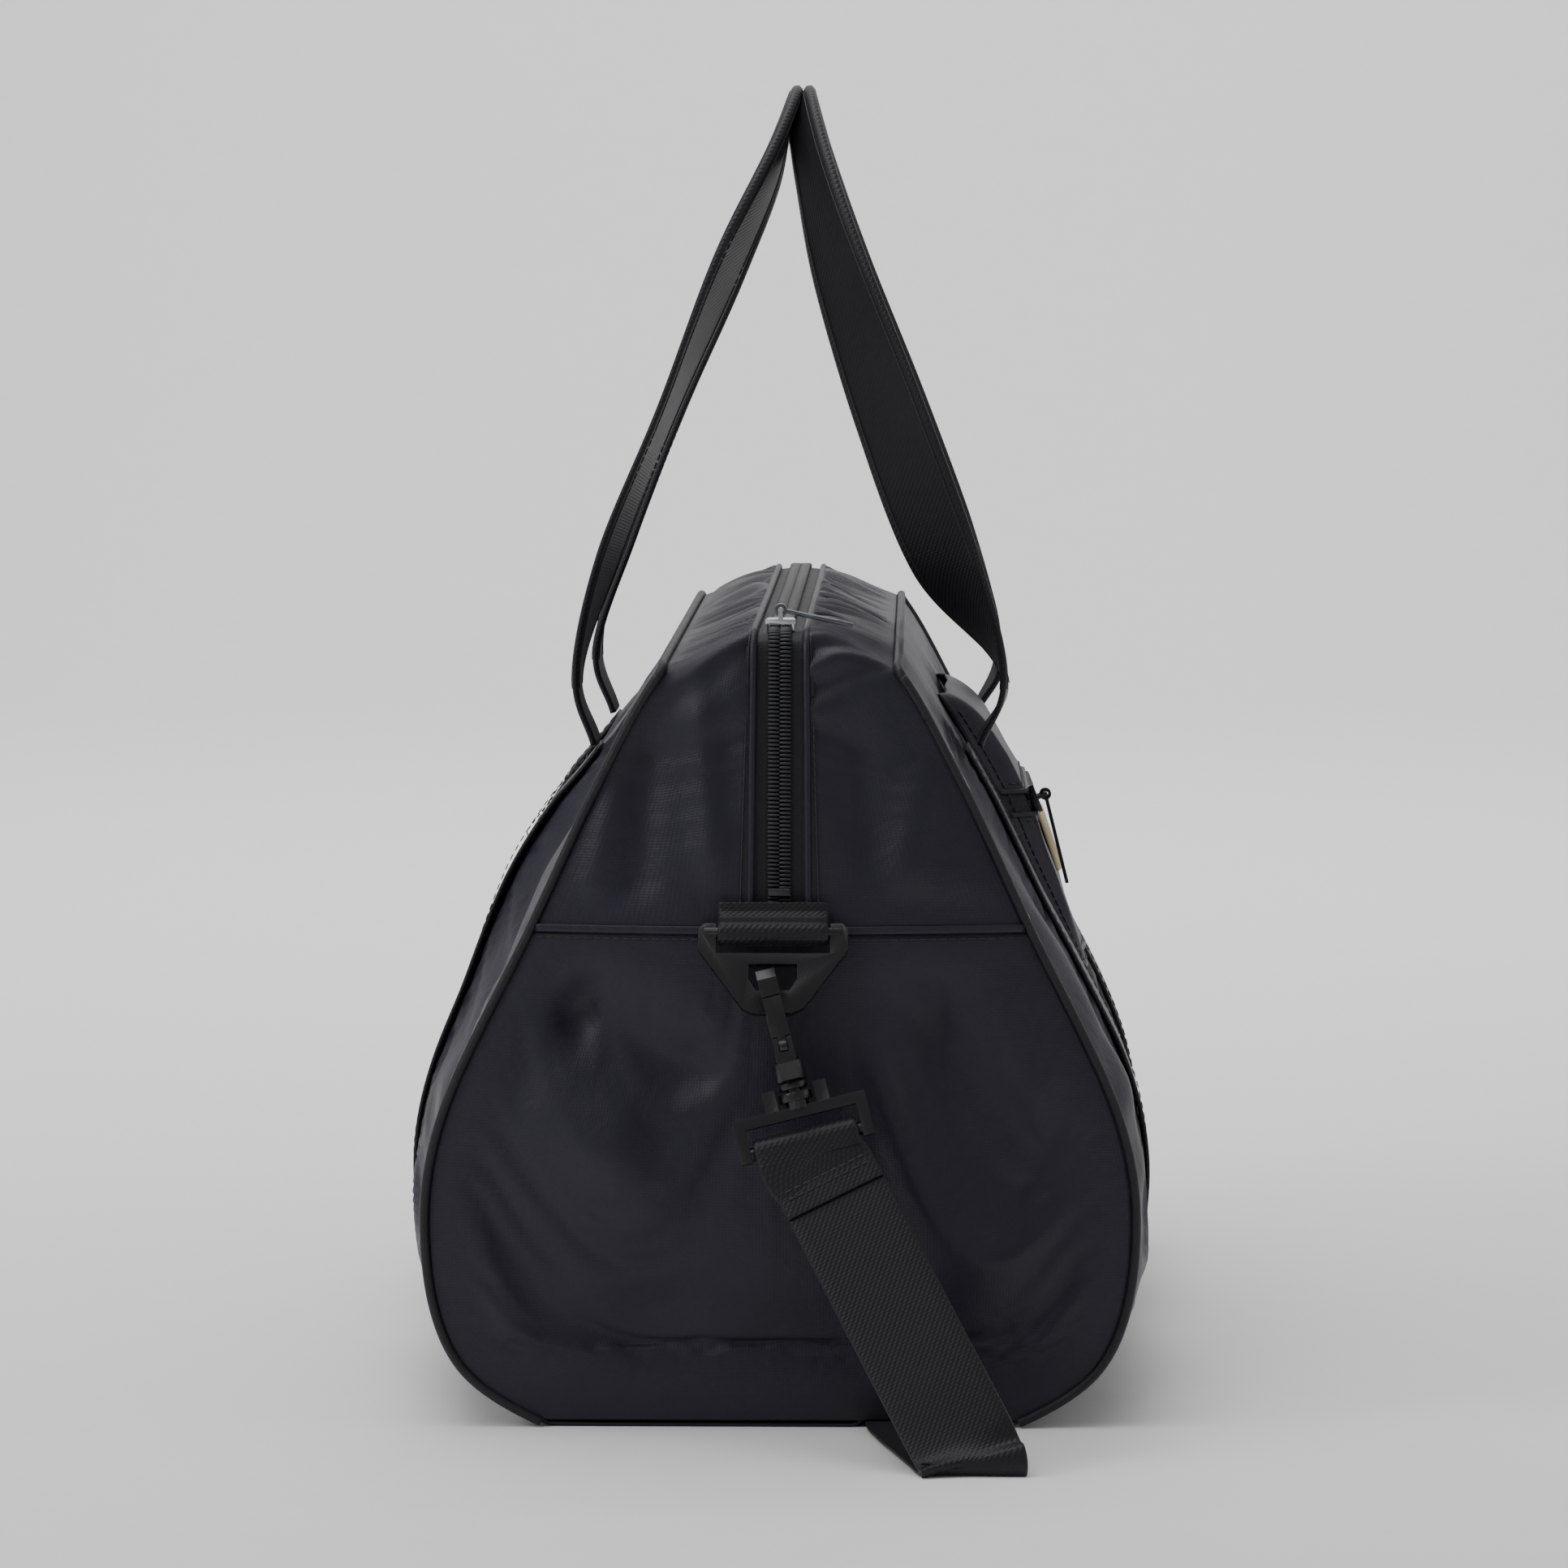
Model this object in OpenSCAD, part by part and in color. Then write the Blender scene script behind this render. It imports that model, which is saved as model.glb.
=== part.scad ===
// Duffel bag. Length runs along Y, the strap clip that is in front is at -Y, the pocket side is +X.
// The origin is on the ground at the middle of the base. All sizes are in millimetres.

/* [Body] */
// Length between the rims of the two end panels
body_len = 476; // [440:2:540]
// How far each end panel domes outward
end_dome = 12; // [8:1:14]
// How much wider the back is at mid length, as a share of its width at the ends
mid_swell = 0.10; // [0.04:0.01:0.12]
// Extra width of the packed shoulder of the back at mid length, as a share
shoulder_swell = 0.12; // [0:0.01:0.14]
// How much wider the pocket side is at mid length, as a share
front_swell = 0.06; // [0.05:0.01:0.08]
// Height of the top crest, where the zip runs
body_h = 292; // [288:1:296]
// Thickness of the shell fabric with its lining
fabric_t = 1.6; // [1.2:0.1:1.8]
// Radius of the corded piping
piping_r = 1.5; // [1.2:0.1:1.6]

/* [Zip] */
// Half width of the strip of zip left bare between the gusset edges
zip_half = 8.7; // [8:0.1:9.5]
// Gap between the two coil halves
coil_gap = 2; // [1.9:0.1:2.2]
// Half length of the part of the zip that opens
mouth_half = 200; // [170:5:204]

/* [Webbing] */
// Width of the handle and strap webbing
web_w = 38; // [34:1:40]
// Thickness of the webbing
web_t = 2; // [1.6:0.1:2.2]
// Distance from the middle of the bag to the middle of each handle leg
leg_y = 85; // [82:1:95]
// Height of the top of the handle loops
handle_top = 483; // [443:2:503]

/* [Clip] */
// Forward lean of the hanging ring, degrees
ring_tilt = 25; // [22:1:28]
// Forward lean of the snap hook, degrees
hook_lean = 12; // [10:1:14]
// Sideways lean of the snap hook, degrees
hook_side = 14; // [10:1:16]

/* [Hidden] */
$fn = 32;

cloth = "#211f27";
webbing = "#19191d";
plastic = "#131316";
steel = "#c4c6ca";
tan = "#c9b58e";

rim = body_len / 2;
top_x = 43;               // piping line of the mouth, out from the middle
top_z = 279.6;
seam_z = 184;             // cross seam of the end panels
foot = 0.2;               // where the panels start on the outline, just above the strap
base_half = 83.6;
shoulder_z = 195;         // height of the widest packed shoulder
gap = 0.4;

// Outline of the end, from the base corner to the top piping, as x and z
outline = [[84, 0], [118, 23], [130, 64], [124, 114], [91, seam_z], [66, 237], [42, 279]];
lead_in = [50, -8];
lead_out = [15, 300];

function spline(a, b, c, d, u) =
    0.5 * (2 * b + (c - a) * u + (2 * a - 5 * b + 4 * c - d) * u * u
        + (3 * b - a - 3 * c + d) * u * u * u);
// Smooth curve through pts at the place t, with before and after as its end directions
function along(pts, before, after, t) =
    let (n = len(pts), i = min(floor(t), n - 2), u = t - i)
    spline(i == 0 ? before : pts[i - 1], pts[i], pts[i + 1],
        i == n - 2 ? after : pts[i + 2], u);
function open_along(pts, t) =
    along(pts, 2 * pts[0] - pts[1], 2 * pts[len(pts) - 1] - pts[len(pts) - 2], t);
function unit(v) = v / norm(v);
function clamp(v) = max(0, min(1, v));

function swell(y, z, front) =
    1 + (front ? front_swell : mid_swell + shoulder_swell * exp(-pow((z - shoulder_z) / 40, 2)))
        * (1 - pow(y / rim, 2)) * clamp(z / 50) * clamp((279 - z) / 60);
function end_point(t) = along(outline, lead_in, lead_out, t);
// Point of the side panel's outer face, moved outward by off
function side_point(t, y, off, front) =
    let (p = end_point(t), q = end_point(t + 0.02), o = end_point(t - 0.02),
        d = unit(q - o), k = swell(y, p[1], front))
    [p[0] * k + d[1] * off, y, p[1] - d[0] * off];
// Reach of the pocket side at mid length and height z, found along the outline
function half_at(z, lo = 0, hi = 6, n = 14) =
    n == 0 ? end_point((lo + hi) / 2)[0] * swell(0, z, true)
    : let (m = (lo + hi) / 2)
        end_point(m)[1] < z ? half_at(z, m, hi, n - 1) : half_at(z, lo, m, n - 1);
// Height of the top between the two piping lines
function arch(x) = 279 + (body_h - 279) * cos(90 * x / 42);
function dome_y(x, z, half) =
    -(rim + end_dome * (1 - pow(x / half, 2)) * sin(clamp(z / body_h) * 180));

// Closed sheet between two grids of points, given row by row
module sheet(outer, inner) {
    rows = len(outer);
    cols = len(outer[0]);
    n = rows * cols;
    pts = concat([for (r = outer) for (p = r) p], [for (r = inner) for (p = r) p]);
    function at(r, c) = r * cols + c;
    skin = [for (r = [0 : rows - 2]) for (c = [0 : cols - 2]) each
        [[at(r, c), at(r + 1, c + 1), at(r, c + 1)], [at(r, c), at(r + 1, c), at(r + 1, c + 1)]]];
    ring = concat([for (c = [0 : cols - 1]) at(0, c)], [for (r = [1 : rows - 1]) at(r, cols - 1)],
        [for (c = [cols - 2 : -1 : 0]) at(rows - 1, c)], [for (r = [rows - 2 : -1 : 1]) at(r, 0)]);
    m = len(ring);
    rim_faces = [for (i = [0 : m - 1]) let (a = ring[i], b = ring[(i + 1) % m]) each
        [[a, b + n, a + n], [a, b, b + n]]];
    polyhedron(pts, concat(skin, [for (f = skin) [f[0] + n, f[2] + n, f[1] + n]], rim_faces));
}

// Closed tube of flat strip or cord: one ring of corners per station
module loft(rings) {
    k = len(rings[0]);
    n = len(rings);
    sides = [for (i = [0 : n - 2]) for (j = [0 : k - 1]) let (a = i * k + j,
        b = i * k + (j + 1) % k) each [[a, b + k, b], [a, a + k, b + k]]];
    ends = [[for (j = [0 : k - 1]) j], [for (j = [k - 1 : -1 : 0]) (n - 1) * k + j]];
    polyhedron([for (r = rings) each r], concat(sides, ends));
}

// Strip of thickness t that follows a flat path, as an outline
module ribbon2d(path, t) {
    n = len(path);
    dirs = [for (i = [0 : n - 1]) unit(path[min(i + 1, n - 1)] - path[max(i - 1, 0)])];
    polygon(concat([for (i = [0 : n - 1]) path[i]],
        [for (i = [n - 1 : -1 : 0]) path[i] + t * [dirs[i][1], -dirs[i][0]]]));
}

// Extrude an outline drawn in x and z from y0 to y1
module along_y(y0, y1) {
    translate([0, y1, 0]) rotate([90, 0, 0]) linear_extrude(y1 - y0) children();
}
// Extrude an outline drawn in y and z from x0 to x1
module along_x(x0, x1) {
    translate([x0, 0, 0]) rotate([90, 0, 90]) linear_extrude(x1 - x0) children();
}
module block(lo, hi) {
    translate(lo) cube(hi - lo);
}
module flip_x(on) {
    mirror([on ? 1 : 0, 0, 0]) children();
}
module flip_y(on) {
    mirror([0, on ? 1 : 0, 0]) children();
}

// ---- shell ----

panel_end = rim - 1.8;
module side_panel(front) {
    ys = [for (i = [0 : 16]) -panel_end + i * panel_end / 8];
    ts = [for (i = [0 : 20]) foot + i * (5.85 - foot) / 20];
    sheet([for (t = ts) [for (y = ys) side_point(t, y, 0, front)]],
        [for (t = ts) [for (y = ys) side_point(t, y, -fabric_t, front)]]);
}
module front_side_panel() color(cloth) side_panel(true);
module back_side_panel() color(cloth) flip_x(true) side_panel(false);

// The base is raised over the strap, which lies in a shallow channel below it
strap_x = 50;
channel_x = 29;
channel_z = 3;
module base_panel() {
    color(cloth) along_y(-panel_end, panel_end) polygon([[-base_half, 0], [channel_x, 0],
        [channel_x + 1, channel_z], [base_half, channel_z], [base_half, channel_z + 1.6],
        [channel_x, channel_z + 1.6], [channel_x - 1, 1.6], [-base_half, 1.6]]);
}
board_r = 12;
module base_board() {
    color("#3a3a3e") translate([0, 0, 5]) linear_extrude(3) union() {
        square([120, 450], center = true);
        square([120 + 2 * board_r, 450 - 2 * board_r], center = true);
        for (x = [-60, 60]) for (y = [-225 + board_r, 225 - board_r])
            translate([x, y]) circle(board_r, $fn = 48);
    }
}

rim_in = 2.5;
module end_panel() {
    ts = [for (i = [0 : 14]) foot + i * (3.97 - foot) / 14];
    ss = [for (i = [-7 : 7]) i / 7];
    function spot(t, s, in) = let (p = end_point(t), h = p[0] - rim_in)
        [s * h, dome_y(s * h, p[1], h) + in, p[1]];
    sheet([for (t = ts) [for (s = ss) spot(t, s, 0)]],
        [for (t = ts) [for (s = ss) spot(t, s, fabric_t)]]);
}
module near_end_panel() color(cloth) end_panel();
module far_end_panel() color(cloth) flip_y(true) end_panel();

// Upper part of the end, beside the zip, and its short return over the top corner
zip_x = zip_half + 0.3;
corner_y = rim - 3;
module gusset_half() {
    rs = [for (i = [0 : 10]) i / 10];
    ss = [for (i = [0 : 6]) i / 6];
    function spot(r, s, in) = let (p = end_point(4.03 + r * 1.9), h = p[0] - rim_in,
        z = (1 - s) * (seam_z + 1 + r * (289 - seam_z)) + s * p[1], x = zip_x + s * (h - zip_x))
        [x, dome_y(x, z, h) + in, z];
    sheet([for (r = rs) [for (s = ss) spot(r, s, 0)]],
        [for (r = rs) [for (s = ss) spot(r, s, fabric_t)]]);
    along_y(-corner_y, -mouth_half - 0.6) gusset_outline();
}
module gusset_outline() {
    ribbon2d([for (i = [0 : 7]) let (x = zip_x + i * (40.4 - zip_x) / 7) [x, arch(x)]], fabric_t);
}
module near_gusset_front() color(cloth) gusset_half();
module near_gusset_back() color(cloth) flip_x(true) gusset_half();
module far_gusset_front() color(cloth) flip_y(true) gusset_half();
module far_gusset_back() color(cloth) flip_x(true) flip_y(true) gusset_half();

module top_piping() {
    translate([top_x, rim - 6, top_z]) rotate([90, 0, 0]) cylinder(r = piping_r, h = 2 * rim - 12);
}
module front_top_piping() color(webbing) top_piping();
module back_top_piping() color(webbing) flip_x(true) top_piping();
module end_piping() {
    ts = [for (i = [0 : 26]) foot + i * (5.75 - foot) / 26];
    for (side = [false, true]) flip_x(side) loft([for (t = ts)
        let (p = side_point(t, -rim - 0.8, -0.2, true), q = side_point(t, -rim - 0.8, 1, true),
            n = unit(q - p))
        [for (a = [0 : 45 : 315]) p + piping_r * (cos(a) * n + sin(a) * [0, 1, 0])]]);
}
module near_end_piping() color(webbing) end_piping();
module far_end_piping() color(webbing) flip_y(true) end_piping();

// ---- main zip ----

tape_z = body_h - 0.8;
coil_x = 3.4;
coil_t = 2.4;
coil_air = 0.08;
zip_foot = 197;
function end_path(lift, z0) =
    [for (i = [0 : 12]) let (z = z0 + i * (288 - z0) / 12) [dome_y(0, z, 60) - lift, z]];
module zip_halves() {
    for (side = [false, true]) flip_x(side) children();
}
module end_tape() {
    zip_halves() {
        along_x(coil_gap / 2, zip_half) ribbon2d(end_path(0, zip_foot), 1);
        along_y(-corner_y, -mouth_half - 0.6) polygon([[coil_gap / 2, tape_z - 1],
            [zip_half, tape_z - 1], [zip_half, tape_z], [coil_gap / 2, tape_z]]);
    }
}
module near_zip_tape() color(webbing) end_tape();
module far_zip_tape() color(webbing) flip_y(true) end_tape();
module end_coil() {
    zip_halves() {
        along_x(coil_gap / 2, coil_x) ribbon2d(end_path(coil_t + coil_air, zip_foot + 3), coil_t);
        block([coil_gap / 2, -corner_y, tape_z], [coil_x, -mouth_half - 0.6, tape_z + coil_t]);
    }
}
module near_zip_coil() color(plastic) end_coil();
module far_zip_coil() color(plastic) flip_y(true) end_coil();
module zip_stops() {
    stop_y = dome_y(0, zip_foot, 60);
    color(steel) for (side = [false, true]) flip_y(side)
        block([-4, stop_y - 2.6, zip_foot - 0.4], [4, stop_y - 0.7, zip_foot + 2.4]);
}

module flap() {
    along_y(-mouth_half, mouth_half) {
        gusset_outline();
        polygon([[coil_gap / 2, tape_z - 1], [zip_x + 0.6, tape_z - 1], [zip_x + 0.6, tape_z - 0.2],
            [zip_half, tape_z], [coil_gap / 2, tape_z]]);
    }
}
module front_flap() color(cloth) flap();
module back_flap() color(cloth) flip_x(true) flap();
module flap_coil() {
    block([coil_gap / 2, -mouth_half, tape_z], [coil_x, mouth_half, tape_z + coil_t]);
}
module front_flap_coil() color(plastic) flap_coil();
module back_flap_coil() color(plastic) flip_x(true) flap_coil();

// Slider for a coil whose tape lies at z = 0, running along Y, with its bail above
bail_z = 7.6;
bail_r = 0.8;
module slider() {
    top = coil_t + gap;
    wing = [[-5.5, -5], [5.5, -5], [4.6, 7], [-4.6, 7]];
    translate([0, 0, top]) linear_extrude(1.6) polygon(wing);
    translate([0, 0, -2.8]) linear_extrude(1.3) polygon(wing);
    for (side = [false, true]) flip_x(side)
        block([coil_x + 0.5, -4.5, gap], [coil_x + 1.6, 4.5, top + 0.2]);
    block([-0.55, -3, -2.6], [0.55, 3, top + 0.2]);
    for (y = [-4.4, 3.2]) block([-0.8, y, top + 1.4], [0.8, y + 1.2, bail_z + bail_r]);
    translate([0, 4, bail_z]) rotate([90, 0, 0]) cylinder(r = bail_r, h = 8);
}
module slider_ring(outer) {
    rotate([90, 0, 0]) cylinder(r = outer, h = 5, center = true);
}
// Pull that hangs on the bail and points along +X, long from the bail to its tip
module pull(long) {
    difference() {
        union() {
            slider_ring(2.3);
            block([1.2, -2.5, -0.7], [8, 2.5, 0.7]);
            translate([0, 0, -0.7]) linear_extrude(1.4)
                polygon([[8, -2.5], [10, -3.4], [long - 3, -3.4], [long, -2], [long, 2],
                    [long - 3, 3.4], [10, 3.4], [8, 2.5]]);
        }
        rotate([90, 0, 0]) cylinder(r = bail_r + 0.35, h = 9, center = true);
        translate([long - 5, 0, -2]) cylinder(r = 1.2, h = 4);
    }
}
slider_y = -222;
pull_drop = 12;
module main_slider() color(steel) translate([0, slider_y, tape_z]) slider();
module main_pull() {
    color(steel) translate([0, slider_y, tape_z + bail_z]) rotate([0, pull_drop, 0]) pull(27);
}

// ---- handles ----

pivot_x = 74;
pivot_z = 240;
module leg_strip(y0, front) {
    ts = [for (i = [0 : 28]) 0.5 + i * 0.1575];
    ys = [y0 - web_w / 2, y0, y0 + web_w / 2];
    sheet([for (t = ts) [for (y = ys) side_point(t, y, gap + web_t, front)]],
        [for (t = ts) [for (y = ys) side_point(t, y, gap, front)]]);
}
module webbing_strips(front) {
    leg_strip(-leg_y, front);
    leg_strip(leg_y, front);
}
module front_webbing() color(webbing) webbing_strips(true);
module back_webbing() color(webbing) flip_x(true) webbing_strips(false);

// Half of each handle from the panel to the crown: x, y, z, width, twist in degrees. The back
// handle leans with its edge towards the ends, and the front one shows them its face.
front_pts = [[pivot_x, -leg_y, pivot_z, web_w, 0], [83, -leg_y, 266, web_w, 0],
    [60, -leg_y, 311, web_w - 1, 46], [39, -79, 366, 36, 50], [20, -63, 420, 31, 45],
    [9, -36, handle_top - 23, 25, 38], [4, 0, handle_top, 22, 36]];
back_pts = [[pivot_x, -leg_y, pivot_z, web_w, 0], [81, -leg_y, 266, web_w, 0],
    [69, -leg_y, 311, web_w, 10], [47, -79, 366, 36, 8], [25, -63, 420, 31, 16],
    [7.5, -36, handle_top - 23, 25, 8], [1, 0, handle_top, 22, -6]];
lean = unit([0.96, 0, 0.26]);
handle_t = web_t + 0.4;
function mirrored(p) = [p[0], -p[1], p[2], p[3], p[4]];
function whole(pts) = concat(pts, [for (i = [5 : -1 : 0]) mirrored(pts[i])]);
function handle_station(path, t) =
    let (p = open_along(path, t), a = open_along(path, max(0, t - 0.05)),
        b = open_along(path, min(12, t + 0.05)),
        d = unit([b[0] - a[0], b[1] - a[1], b[2] - a[2]]), flat = unit(cross(lean, d)),
        w = cos(p[4]) * flat + sin(p[4]) * lean, across = unit(w - (w * d) * d),
        up = cross(d, across), c = [p[0], p[1], p[2]], h = across * p[3] / 2,
        v = up * handle_t / 2)
    [c - h - v, c + h - v, c + h + v, c - h + v];
module handle(pts) {
    path = whole(pts);
    loft([for (i = [0 : 60]) handle_station(path, i / 5)]);
}
module front_handle() color(webbing) handle(front_pts);
module back_handle() color(webbing) flip_x(true) handle(back_pts);

// ---- front pocket ----

pocket_half = 58;
pocket_zip_z = 214;
pocket_puff = 12;
pocket_foot = 156;
function pocket_x(z) = half_at(z) + pocket_puff * pow(sin(90 * clamp((z - 138) / 95)), 1.5);
function pocket_path(z0, z1, n) =
    [for (i = [0 : n]) let (z = z0 + i * (z1 - z0) / n) [pocket_x(z), z]];
module pocket_lower() {
    color(cloth) along_y(-pocket_half, pocket_half)
        ribbon2d(pocket_path(pocket_foot, pocket_zip_z - 5.5, 8), -fabric_t);
}
module pocket_upper() {
    color(cloth) along_y(-pocket_half, pocket_half) ribbon2d(concat(pocket_path(pocket_zip_z + 5.5, 246, 5),
        [[75.5, 250], [70, 254], [61.5, 257]]), -fabric_t);
}
module pocket_sides() {
    color(cloth) for (side = [false, true]) flip_y(side)
        along_y(-pocket_half - 2, -pocket_half - 0.4) polygon(concat(pocket_path(pocket_foot, 246, 10),
            [[75.5, 251], [70, 254]],
            [for (z = [250 : -13 : 159]) [half_at(z) + 1.2, z]]));
}
zip_lean = atan2(pocket_x(pocket_zip_z + 5) - pocket_x(pocket_zip_z - 5), 10);
module on_pocket_zip() {
    translate([pocket_x(pocket_zip_z), 0, pocket_zip_z]) rotate([0, 90 + zip_lean, 0]) children();
}
module pocket_zip_tape() {
    color(webbing) on_pocket_zip() for (side = [false, true]) flip_x(side)
        block([coil_gap / 2, -pocket_half, -1], [5, pocket_half, 0]);
}
module pocket_zip_coil() {
    color(plastic) on_pocket_zip() for (side = [false, true]) flip_x(side)
        block([coil_gap / 2, -pocket_half + 4, 0], [coil_x, pocket_half - 4, coil_t]);
}
badge_z = 194.5;
module pocket_badge() {
    tilt = atan2(pocket_x(badge_z + 4) - pocket_x(badge_z - 4), 8);
    color(tan) translate([pocket_x(badge_z), 12, badge_z]) rotate([0, 90 + tilt, 0])
        translate([0, 0, 0.9]) cylinder(r = 14.5, h = 1.6, $fn = 64);
}
pocket_slider_y = -46;
module pocket_slider() {
    color(plastic) on_pocket_zip() translate([0, pocket_slider_y, 0]) slider();
}
module pocket_pull() {
    color(webbing) on_pocket_zip() translate([0, pocket_slider_y, bail_z])
        rotate([0, 8, 0]) pull(36);
}

// ---- strap hardware ----

bar_y = -257.5;
bar_z = 184;
bar_x = -2;
ring_t = 4;
bar_r = 2.4;
module at_bar() {
    translate([bar_x, bar_y, bar_z]) children();
}
module tab() {
    back_y = 6.6;
    at_bar() difference() {
        union() {
            rotate([0, 90, 0]) cylinder(r = bar_r + 2.4, h = 40, center = true);
            block([-20, 0, bar_r + 0.4], [20, back_y, bar_r + 2.4]);
            block([-20, 0, -bar_r - 2.4], [20, back_y, -bar_r - 0.4]);
            block([-20, back_y - 2, -bar_r - 2.4], [20, back_y, 11]);
        }
        rotate([0, 90, 0]) cylinder(r = bar_r + 0.4, h = 42, center = true);
    }
}
module near_tab() color(webbing) tab();
module far_tab() color(webbing) flip_y(true) tab();

low_bar = -26.75;
module ring() {
    at_bar() rotate([-ring_tilt, 0, 0]) {
        rotate([0, 90, 0]) cylinder(r = bar_r, h = 50, center = true);
        along_y(-ring_t / 2, ring_t / 2) difference() {
            polygon([[-27, 1], [-25, 3], [25, 3], [27, 1], [27, -7], [11, -29], [7, -31],
                [-7, -31], [-11, -29], [-27, -7]]);
            polygon([[-20.6, 4], [20.6, 4], [20.6, -8.4], [-20.6, -8.4]]);
            polygon([[-8.8, -12.5], [8.8, -12.5], [8.8, -18], [6, -22.5], [-6, -22.5],
                [-8.8, -18]]);
        }
    }
}
module near_ring() color(plastic) ring();
module far_ring() color(plastic) flip_y(true) ring();

hook_w = 7;
post_r = 2.8;
module at_hook() {
    at_bar() rotate([-ring_tilt, 0, 0]) translate([0, 0, low_bar]) rotate([ring_tilt, 0, 0])
        rotate([-hook_lean, 0, 0]) rotate([0, -hook_side, 0]) children();
}
gate_z = -17;
gate_r = 2.6;
module hook() {
    at_hook() difference() {
        union() {
            along_x(-hook_w / 2, hook_w / 2) difference() {
                polygon([[-9, 11.6], [5, 11.6], [10.5, 8], [12.5, 2], [12.5, -22], [9, -29],
                    [-9, -29], [-12.5, -23], [-12.5, -14], [-8, -14], [-8, -22], [8, -22],
                    [8, 1.8], [6, 5.8], [-8, 5.8], [-8, 1.6], [-12.5, 1.6], [-12.5, 8]]);
            }
            translate([0, 0, -29]) cylinder(r = 5.6, h = 7);
        }
        translate([0, 0, -30]) cylinder(r = post_r + 0.35, h = 9);
        translate([0, -10.4, gate_z]) rotate([0, 90, 0])
            cylinder(r = gate_r + 0.35, h = 3.4, center = true);
        block([-1.7, -14, gate_z], [1.7, -7, -13]);
    }
    at_hook() translate([0, -10.4, gate_z]) rotate([0, 90, 0])
        cylinder(r = 0.9, h = hook_w - 0.6, center = true);
}
module near_hook() color(plastic) hook();
module far_hook() color(plastic) flip_y(true) hook();

module gate() {
    at_hook() difference() {
        union() {
            translate([0, -10.4, gate_z]) rotate([0, 90, 0])
                cylinder(r = gate_r - 0.1, h = 2.8, center = true);
            block([-1.4, -12, gate_z], [1.4, -8.8, 1.2]);
            block([-3.3, -12.3, -13.4], [3.3, -8.6, 1.2]);
        }
        translate([0, -10.4, gate_z]) rotate([0, 90, 0])
            cylinder(r = 1.25, h = 4, center = true);
    }
}
module near_gate() color(plastic) gate();
module far_gate() color(plastic) flip_y(true) gate();

loop_z = -51.4;
frame_z = -42.4;         // underside of the frame's top bar
module strap_frame() {
    at_hook() {
        translate([0, 0, -21.6]) cylinder(r = 4.4, h = 2);
        translate([0, 0, frame_z + 2]) cylinder(r = post_r, h = 19.4);
        translate([0, 0, -32]) cylinder(r = 5.2, h = 2.2);
        translate([0, 0, -36.4]) cylinder(r = 6, h = 3);
        translate([0, 0, frame_z + 3]) cylinder(r = 4.2, h = 5);
        block([-24.5, -3, frame_z], [24.5, 3, frame_z + 4]);
        for (side = [-1, 1]) {
            block([side * 22.5 - 2, -3, frame_z - 12], [side * 22.5 + 2, 3, frame_z + 4]);
            block([side * 9.4 - 2.4, -2.8, frame_z + 3], [side * 9.4 + 2.4, 2.8, frame_z + 11.4]);
        }
        translate([0, 0, loop_z]) rotate([0, 90, 0]) cylinder(r = 2.5, h = 44, center = true);
    }
}
module near_strap_frame() color(plastic) strap_frame();
module far_strap_frame() color(plastic) flip_y(true) strap_frame();

// ---- strap ----

// Where the strap leaves its loop, and how it leans there: solved from the hook's own lean
function spin_x(v, a) = [v[0], v[1] * cos(a) - v[2] * sin(a), v[1] * sin(a) + v[2] * cos(a)];
function spin_y(v, a) = [v[0] * cos(a) + v[2] * sin(a), v[1], v[2] * cos(a) - v[0] * sin(a)];
function from_hook(v) = [bar_x, bar_y, bar_z] + spin_x([0, 0, low_bar], -ring_tilt)
    + spin_x(spin_y(v, -hook_side), -hook_lean);
loop_c = from_hook([0, 0, loop_z]);
floor_fold = [66, -331, 12];
run_dir = unit(floor_fold - loop_c);
run_len = norm(floor_fold - loop_c);
frame_x = from_hook([1, 0, 0]) - from_hook([0, 0, 0]);
run_w = unit(frame_x - (frame_x * run_dir) * run_dir);
loop_out = 2.9 + web_t;
strap_start = 24;
module strap_loop() {
    at_hook() translate([0, 0, loop_z]) rotate([0, 90, 0]) difference() {
        cylinder(r = loop_out, h = web_w, center = true);
        cylinder(r = 2.9, h = web_w + 2, center = true);
    }
    // Below the bar the two layers lie square to the frame, and turn to the strap's own lean
    down = from_hook([0, 0, -1]) - from_hook([0, 0, 0]);
    loft([for (s = [[loop_c + down * (loop_out - 0.6), down, frame_x, 3.2],
            [loop_c + run_dir * 14, run_dir, run_w, web_t + gap / 2],
            [loop_c + run_dir * (strap_start - 2), run_dir, run_w, web_t + gap / 2]])
        let (h = s[2] * web_w / 2, v = cross(s[1], s[2]) * s[3])
        [s[0] - h - v, s[0] + h - v, s[0] + h + v, s[0] - h + v]]);
}
module near_strap_loop() color(webbing) strap_loop();
module far_strap_loop() color(webbing) flip_y(true) strap_loop();

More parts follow.
